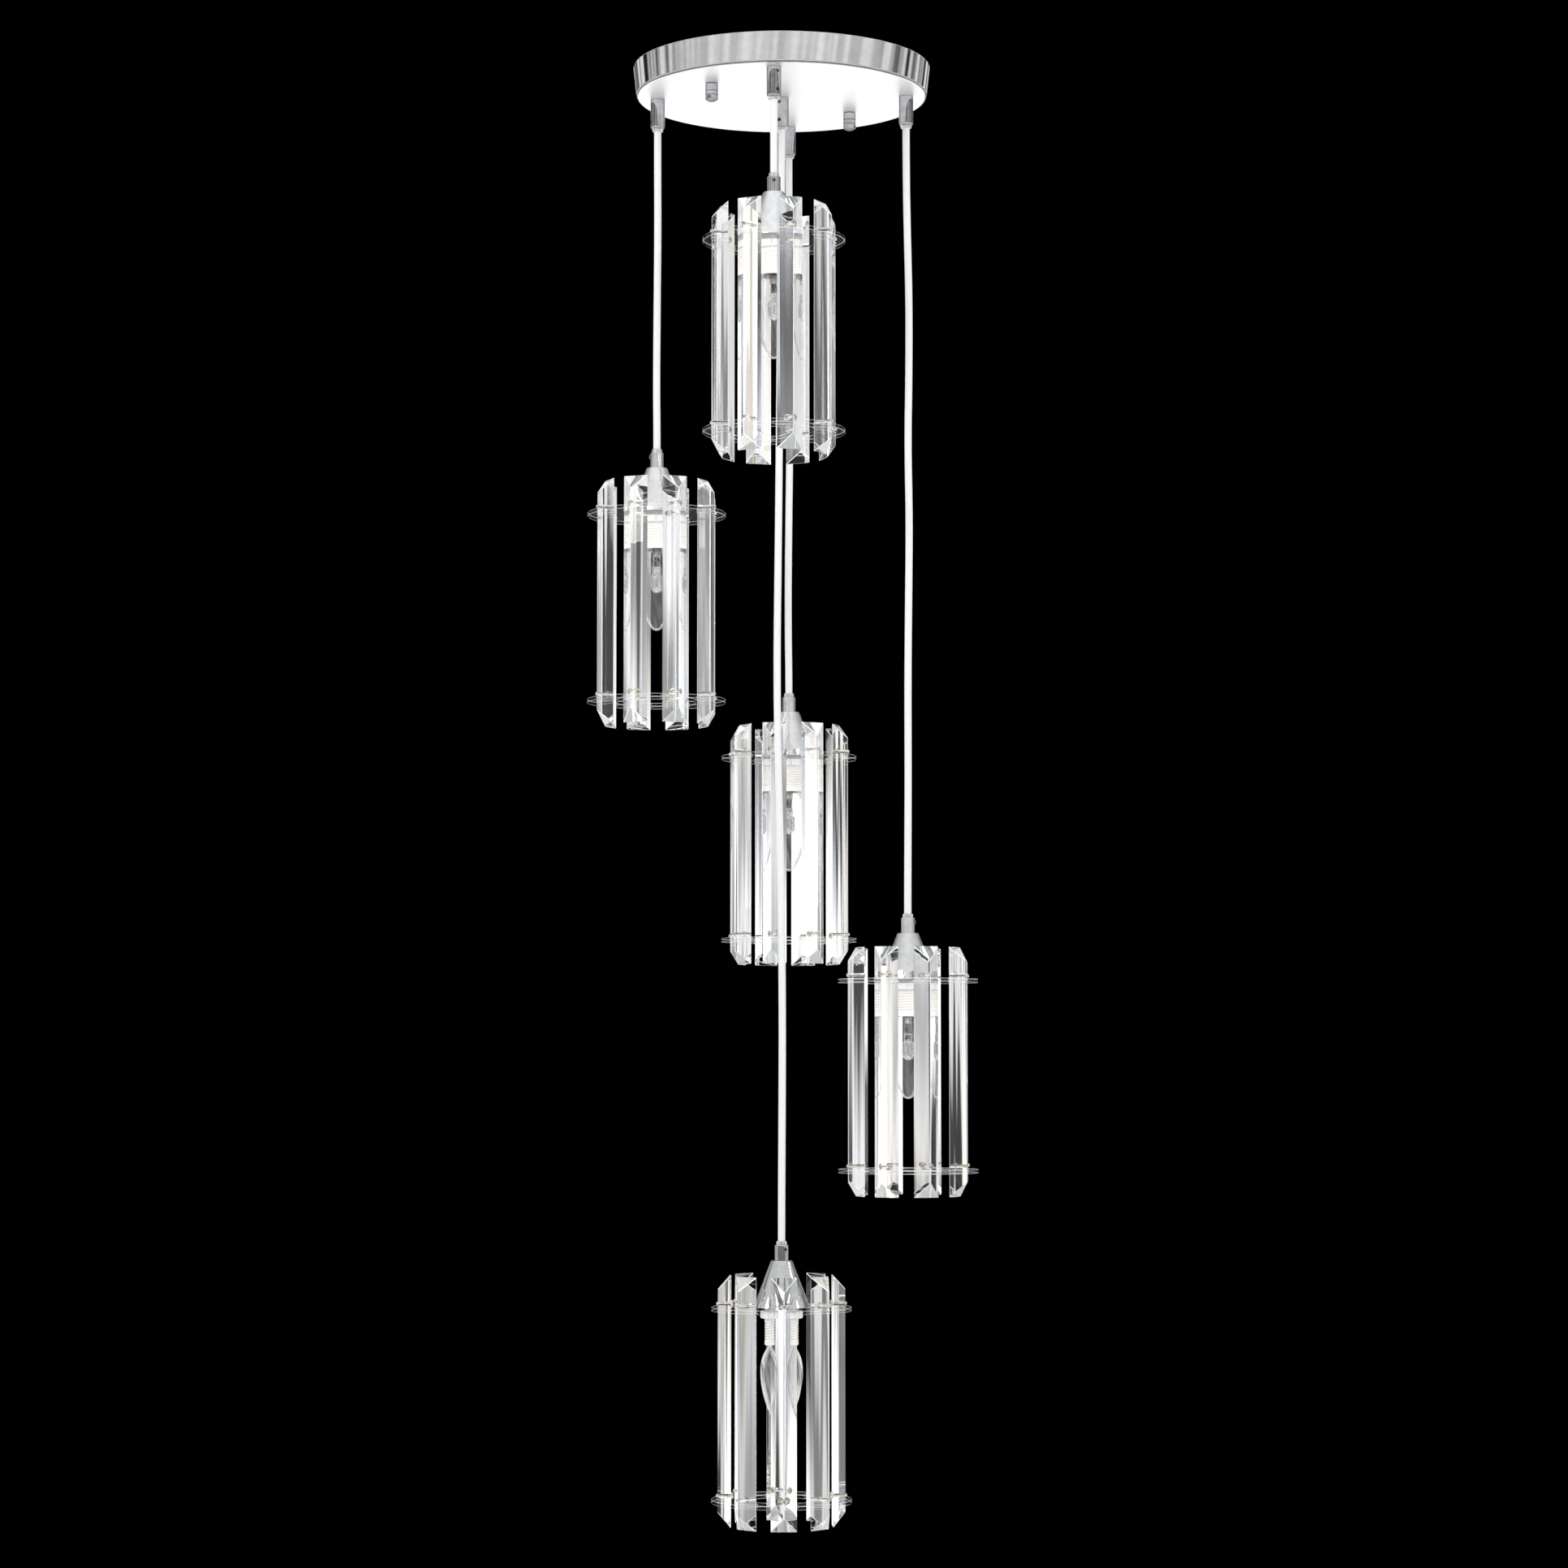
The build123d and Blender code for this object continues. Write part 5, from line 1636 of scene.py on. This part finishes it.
@dataclass
class Bulb:
    """The candle bulb: envelope, stem, burner with its filament, wires and cap, in millimetres."""

    neck_radius: float = 8.0
    neck_top: float = -24.2
    cap_bottom: float = -28.2
    widest: float = -52.0
    radius: float = 17.5
    nose_centre: float = -93.4
    nose_radius: float = 5.6
    glass: float = 0.8
    stem_radius: float = 3.4
    stem_low: float = -37.2
    burner_radius: float = 4.9
    burner_ball: float = -62.3
    burner_shoulder: float = -54.0
    seal_top: float = -45.2
    cap_top: float = -5.7
    cap_radius: float = 6.9
    skirt_radius: float = 8.5
    skirt_top: float = -23.6
    skirt_wall: float = 0.35
    burner_wall: float = 0.75
    coil_top: float = -54.5
    coil_low: float = -62.0
    coil_radius: float = 0.75
    coil_turns: int = 13
    pinch_start: float = -30.0
    pinch_run: float = 5.0
    pinch_share: float = 0.45

    def wall(self, inset: float) -> Outline:
        """Return the envelope's outline from its tip to its neck.

        Args:
            inset: How far it is set in from the outer face.

        Returns:
            The outline.
        """
        rise = self.widest - self.nose_centre
        spread_out = self.radius - self.nose_radius
        flank = (rise**2 + spread_out**2) / (2 * spread_out) + self.nose_radius
        meet = -math.degrees(math.atan2(rise, flank - self.radius))
        neck_rise = self.cap_bottom - self.widest
        waist = self.radius - self.neck_radius
        shoulder = (neck_rise**2 + waist**2) / (2 * waist)
        end = math.degrees(math.asin(neck_rise / shoulder))
        outline = arc((0, self.nose_centre), self.nose_radius - inset, -90, meet, 12)
        outline += arc((self.radius - flank, self.widest), flank - inset, meet, 0, 18)[1:]
        outline += arc((self.radius - shoulder, self.widest), shoulder - inset, 0, end - 4, 10)[1:]
        outline += [(self.neck_radius - inset, self.cap_bottom + 0.5), (self.neck_radius - inset, self.neck_top)]
        return outline

    def envelope(self) -> bpy.types.Object:
        """Turn the thin glass envelope."""
        outline = self.wall(0.0) + self.wall(self.glass)[::-1]
        return lathed("envelope", outline, 72, closed=False, shading=Shading.MOULDED)

    def stem(self) -> bpy.types.Object:
        """Turn the flared stem and flatten its pinch.

        Returns:
            The stem.
        """
        top = self.neck_top
        outline = [(0, top), (6.9, top), (6.9, top - 0.8), (5.4, top - 1.6), (4.3, top - 3.2), (3.6, top - 6.0)]
        outline += [(self.stem_radius, top - 9.0), (self.stem_radius, self.stem_low + 1.2)]
        outline += [*arc((self.stem_radius - 1.2, self.stem_low + 1.2), 1.2, 0, -90, 5), (0, self.stem_low)]
        stem = turned("stem", outline, steps=40, closed=False)
        for vertex in stem.data.vertices:
            pinch = min(1.0, max(0.0, (self.pinch_start * MM - vertex.co.z) / (self.pinch_run * MM)))
            vertex.co.y *= 1 - self.pinch_share * pinch
        return smoothed(stem, Shading.MOULDED)

    def burner(self) -> bpy.types.Object:
        """Turn the quartz burner, hollow, with a flat seal above it.

        Returns:
            The burner.
        """
        r, ball, shoulder = self.burner_radius, self.burner_ball, self.burner_shoulder
        outer = [*arc((0, ball), r, -90, 0, 10), (r, shoulder), *arc((r - 3.0, shoulder), 3.0, 0, 70, 6)]
        outer += [(1.6, shoulder + 4.2), (0, shoulder + 4.4)]
        wall = self.burner_wall
        inner = [*arc((0, ball), r - wall, -90, 0, 10), (r - wall, shoulder)]
        inner += [*arc((r - 3.0, shoulder), 3.0 - wall, 0, 80, 6), (0, shoulder + 2.4)]
        shell = turned("burner", outer, steps=40, closed=False)
        room = turned("room", inner, steps=40, closed=False)
        with edited(room):
            bpy.ops.mesh.flip_normals()
        seal = [(-3.6, -1.2), (3.6, -1.2), (3.6, 1.2), (-3.6, 1.2)]
        flat = bevelled(bar("seal", seal, shoulder + 3.0, self.seal_top), 0.8, 3)
        return smoothed(joined("burner", [shell, room, flat]), Shading.MOULDED)

    def filament(self) -> bpy.types.Object:
        """Draw the wires, the support loops and the coiled filament as one mesh.

        Returns:
            The wires as one mesh.
        """
        top, low, radius, steps = self.coil_top, self.coil_low, self.coil_radius, 10 * self.coil_turns
        coil = [(0.0, 0.0, top + 3.0)]
        for step in range(steps + 1):
            angle = math.tau * step / 10
            coil.append((radius * math.cos(angle), radius * math.sin(angle), top + (low - top) * step / steps))
        coil += [(2.6, 0.0, low - 0.6), (3.0, 0.0, low + 3), (2.6, 0.0, top + 3), (2.2, 0.0, -50.0)]
        support = ((2.5, -35.5), (2.5, -40), (2.9, -43), (2.3, -46.5), (2.3, -49))
        wires = [
            (0.16, coil),
            *((0.3, [(side * x, 0, z) for x, z in support]) for side in (-1, 1)),
            (
                0.22,
                [(0, 1.2, -36), (0, 2.8, -39.5), (1.6, 3.4, -42), (0, 3, -44.5), (-1.6, 1.6, -43), (0, 0.8, -47)],
            ),
        ]
        runs = [(radius, [Vector(point) * MM for point in points]) for radius, points in wires]
        return joined("wires", [meshed(thickened(line("wire", [run], steps=3), radius, 1)) for radius, run in runs])

    def cap(self) -> bpy.types.Object:
        """Turn the screw cap and wind its thread.

        Returns:
            The cap.
        """
        root = self.cap_radius - 0.7
        thread = Thread(self.cap_radius, -21.2, -7.0, 2.82, 0.7)
        outline = [(0, self.cap_top), (root - 0.3, self.cap_top), (root, self.cap_top - 0.3)]
        outline += rows(self.cap_radius, thread.high, thread.low, 48)
        outline += [(self.skirt_radius - 0.2, self.skirt_top), (self.skirt_radius, self.skirt_top - 0.3)]
        wall = self.skirt_wall
        outline += [(self.skirt_radius, self.cap_bottom), (self.skirt_radius - wall, self.cap_bottom)]
        outline += [(self.skirt_radius - wall, self.skirt_top - 0.3), (root - wall, self.skirt_top + 2.4)]
        outline += [(root - wall, self.cap_top - wall), (0, self.cap_top - wall)]
        return smoothed(wound(turned("cap", outline, steps=64, closed=False), thread), Shading.MOULDED)

    def patterns(self, f: Finishes) -> list[Pattern]:
        """Model the bulb's pieces.

        Args:
            f: The light's finishes.

        Returns:
            The patterns.
        """
        insulator = [(0, self.cap_top), (5.8, self.cap_top), (5.5, -5.2), (2.8, -3.3), (2.4, -3.1), (0, -3.1)]
        contact = [(0, -3.15), (2.3, -3.15), (2.4, -2.7), *arc((1.7, -2.7), 0.7, 0, 90, 4), (0, -2.0)]
        insulator = lathed("insulator", insulator, 40, closed=False, shading=Shading.MOULDED)
        contact = lathed("contact", contact, 32, closed=False, shading=Shading.MOULDED)
        return [
            Pattern("bulb_envelope", self.envelope(), f.bulb, "bulb_glass"),
            Pattern("bulb_stem", self.stem(), f.quartz, "bulb_glass"),
            Pattern("bulb_burner", self.burner(), f.quartz, "bulb_glass"),
            Pattern("bulb_wires", self.filament(), f.wire, "bulb_glass"),
            Pattern("bulb_screw_cap", self.cap(), f.brass, "bulb_cap"),
            Pattern("bulb_insulator", insulator, f.insulator, "bulb_cap"),
            Pattern("bulb_contact", contact, f.wire, "bulb_cap"),
        ]


@dataclass
class Shades:
    """The five shades with their bulbs, modelled once and placed five times."""

    finishes: Finishes

    def build(self) -> None:
        """Model the pieces of one shade and place them under every gland."""
        gripped = CordGrip().patterns(self.finishes)
        turned_with = Cone().patterns(self.finishes) + Prism().patterns(self.finishes)
        turned_with += Lampholder().patterns(self.finishes) + Bulb().patterns(self.finishes)
        for pattern in gripped + turned_with:
            pattern.dressed()
        for place in PENDANTS:
            suffix = f"_{place.index}"
            for pattern in gripped:
                pattern.placed(suffix, place.grip_place())
            for pattern in turned_with:
                pattern.placed(suffix, place.shade_place())
        for pattern in gripped + turned_with:
            bpy.data.objects.remove(pattern.shape)


# ---------------------------------------------------------------------------------------------
# Studio
# ---------------------------------------------------------------------------------------------
@dataclass
class Studio:
    """The camera, the floor, the lamps and the surroundings, in metres and degrees."""

    camera_place: tuple[float, float, float] = (0.002, -3.265, -0.8365)
    camera_lift: float = 4.05
    lens: float = 90.1
    sensor: float = 36.0
    floor_height: float = -2.4
    floor_size: float = 6.0
    floor_roughness: float = 0.7
    level: float = 1.0
    slats: float = 6.0
    slat_lean: float = 9.0
    slat_start: float = 3.16
    front_gain: float = 1.12
    behind: float = 0.25
    slat_front: tuple[float, float] = (0.72, 1.08)
    slat_back: tuple[float, float] = (0.03, 1.7)
    glass_bounces: int = 28
    metal_bounces: int = 8

    def camera(self) -> None:
        """Place the camera at the photograph's angle."""
        data = bpy.data.cameras.new("camera")
        data.lens = self.lens
        data.sensor_width = self.sensor
        data.clip_end = 100
        camera = bpy.data.objects.new("camera", data)
        camera.location = self.camera_place
        camera.rotation_euler = (math.radians(90 + self.camera_lift), 0, 0)
        bpy.context.scene.collection.objects.link(camera)
        bpy.context.scene.camera = camera

    def floor(self) -> None:
        """Lay the pale floor."""
        bpy.ops.object.select_all(action="DESELECT")
        bpy.ops.mesh.primitive_plane_add(size=self.floor_size, location=(0, 0, self.floor_height))
        floor = bpy.context.object
        floor.name = "studio_floor"
        material = bpy.data.materials.new("studio_floor")
        material.use_nodes = True
        r = Recipe(material.node_tree)
        shader = r.add("BsdfPrincipled", {"Roughness": self.floor_roughness})
        cloud = r.noise(r.add("TexCoord").outputs["Object"], 1.5, 3.0)
        r.feed(r.blended(cloud, grey(0.80), grey(0.84)), shader.inputs["Base Color"])
        r.feed(shader.outputs[0], r.add("OutputMaterial").inputs["Surface"])
        floor.data.materials.append(material)

    def lamp(self, name: str, place: tuple[float, float, float], size: float, power: float) -> None:
        """Aim one large soft lamp at the light.

        Args:
            name: The lamp's name.
            place: Where it stands.
            size: Length of its side.
            power: Its power in watts.
        """
        data = bpy.data.lights.new(name, "AREA")
        data.size = size
        data.energy = power
        lamp = bpy.data.objects.new(name, data)
        lamp.location = place
        aim = Vector((0, 0, -0.7)) - Vector(place)
        lamp.rotation_euler = aim.to_track_quat("-Z", "Y").to_euler()
        lamp.visible_camera = lamp.visible_glossy = False
        bpy.context.scene.collection.objects.link(lamp)

    def surroundings(self) -> None:
        """Surround the light with a soft studio of pale walls and darker gaps.

        A clear or polished surface shows it, and the camera itself sees black between the pieces.
        """
        world = bpy.data.worlds.new("studio")
        world.use_nodes = True
        bpy.context.scene.world = world
        r = Recipe(world.node_tree)
        axes = r.add("SeparateXYZ", {0: r.add("TexCoord").outputs["Generated"]}).outputs
        turn = r.math("ARCTAN2", axes["X"], axes["Y"])
        share = r.span(turn, 0.0, 1.0, -math.pi, math.pi)
        walls = r.ramp(share, tuple(((bearing + 180) / 360, grey(level)) for bearing, level in WALLS))
        lift = r.span(axes["Z"], 0.0, 1.0, -1.0, 1.0)
        plain, band, back_gain = (
            r.ramp(lift, tuple(((height + 1) / 2, grey(level)) for height, level in stops))
            for stops in (PLAIN_HEIGHTS, WALL_HEIGHTS, BACK_GAIN)
        )
        across = r.math("ADD", r.math("MULTIPLY", turn, self.slats), r.math("MULTIPLY", axes["Z"], self.slat_lean))
        across = r.math("ADD", across, self.slat_start)
        slats = r.add("TexNoise", {"W": across, "Scale": 1.0, "Detail": 1.2}, noise_dimensions="1D").outputs[0]
        strong = r.math("MAXIMUM", r.span(axes["Y"], 0.0, 1.0, -0.2, 0.4), r.span(axes["Z"], 0.0, 1.0, 0.14, 0.22))
        darkest = r.span(strong, self.slat_front[0], self.slat_back[0])
        brightest = r.span(strong, self.slat_front[1], self.slat_back[1])
        gain = r.blended(strong, grey(self.front_gain), back_gain)
        shares = r.math("MULTIPLY", r.span(slats, darkest, brightest, 0.42, 0.60), gain)
        upper = r.span(axes["Z"], 0.0, 1.0, -0.05, -0.01)
        shares = r.math("MULTIPLY", shares, r.math("MAXIMUM", upper, r.span(axes["Y"], self.behind, 1.0, -0.5, -0.1)))
        both = r.blended(band, plain, r.blended(1.0, walls, shares, "MULTIPLY"))
        studio = r.add("Background", {"Color": both, "Strength": self.level})
        black = r.add("Background", {"Color": grey(0.0), "Strength": 1.0})
        mix = r.add("MixShader")
        r.feed(r.add("LightPath").outputs["Is Camera Ray"], mix.inputs[0])
        r.feed(studio.outputs[0], mix.inputs[1])
        r.feed(black.outputs[0], mix.inputs[2])
        r.feed(mix.outputs[0], r.add("OutputWorld").inputs["Surface"])

    def build(self) -> None:
        """Set up everything round the light."""
        self.floor()
        self.surroundings()
        self.lamp("key", (-2.2, -2.6, 0.9), 1.8, 70.0)
        self.lamp("fill", (2.6, -1.8, 0.2), 1.6, 36.0)
        scene = bpy.context.scene
        scene.view_settings.view_transform = "Standard"
        scene.cycles.max_bounces = scene.cycles.transmission_bounces = self.glass_bounces
        scene.cycles.glossy_bounces = self.metal_bounces


# Bearing in degrees, with 0 straight behind the light and 90 on its right, and the wall's brightness there.
WALLS = (
    (-180, 0.62), (-150, 0.68), (-118, 0.62), (-98, 0.58), (-80, 0.46), (-65, 0.52), (-45, 0.58), (-30, 0.65),
    (-12, 0.45), (-4, 0.85), (4, 0.85), (12, 0.45), (30, 0.65), (45, 0.60), (65, 0.52), (80, 0.46),
    (98, 0.58), (118, 0.62), (150, 0.68), (180, 0.62),
)
# Height of the direction, from straight down at -1 to straight up at 1: the light away from the walls, the
# brightness of the walls behind the light, and the walls' share.
PLAIN_HEIGHTS = (
    (-1.0, 1.15), (-0.24, 1.25), (0.0, 1.0), (0.3, 0.80), (0.48, 0.58), (0.6, 0.60), (0.72, 0.85),
    (0.82, 1.0), (1.0, 1.15),
)
BACK_GAIN = ((-0.12, 1.35), (0.01, 1.5), (0.04, 1.4), (0.08, 1.05), (0.12, 0.95), (0.18, 0.7), (0.25, 0.8))
WALL_HEIGHTS = ((-1.0, 0.0), (-0.21, 0.0), (-0.15, 1.0), (0.30, 1.0), (0.42, 0.0))


def main() -> None:
    """Build the studio and the light, and report each piece."""
    logging.basicConfig(level=logging.INFO, format="%(name)s: %(message)s")
    studio = Studio()
    studio.camera()
    finishes = Finishes()
    for place in PENDANTS:
        Cable(place).build(finishes)
    Canopy(finishes).build()
    Shades(finishes).build()
    studio.build()


if __name__ == "__main__":
    main()
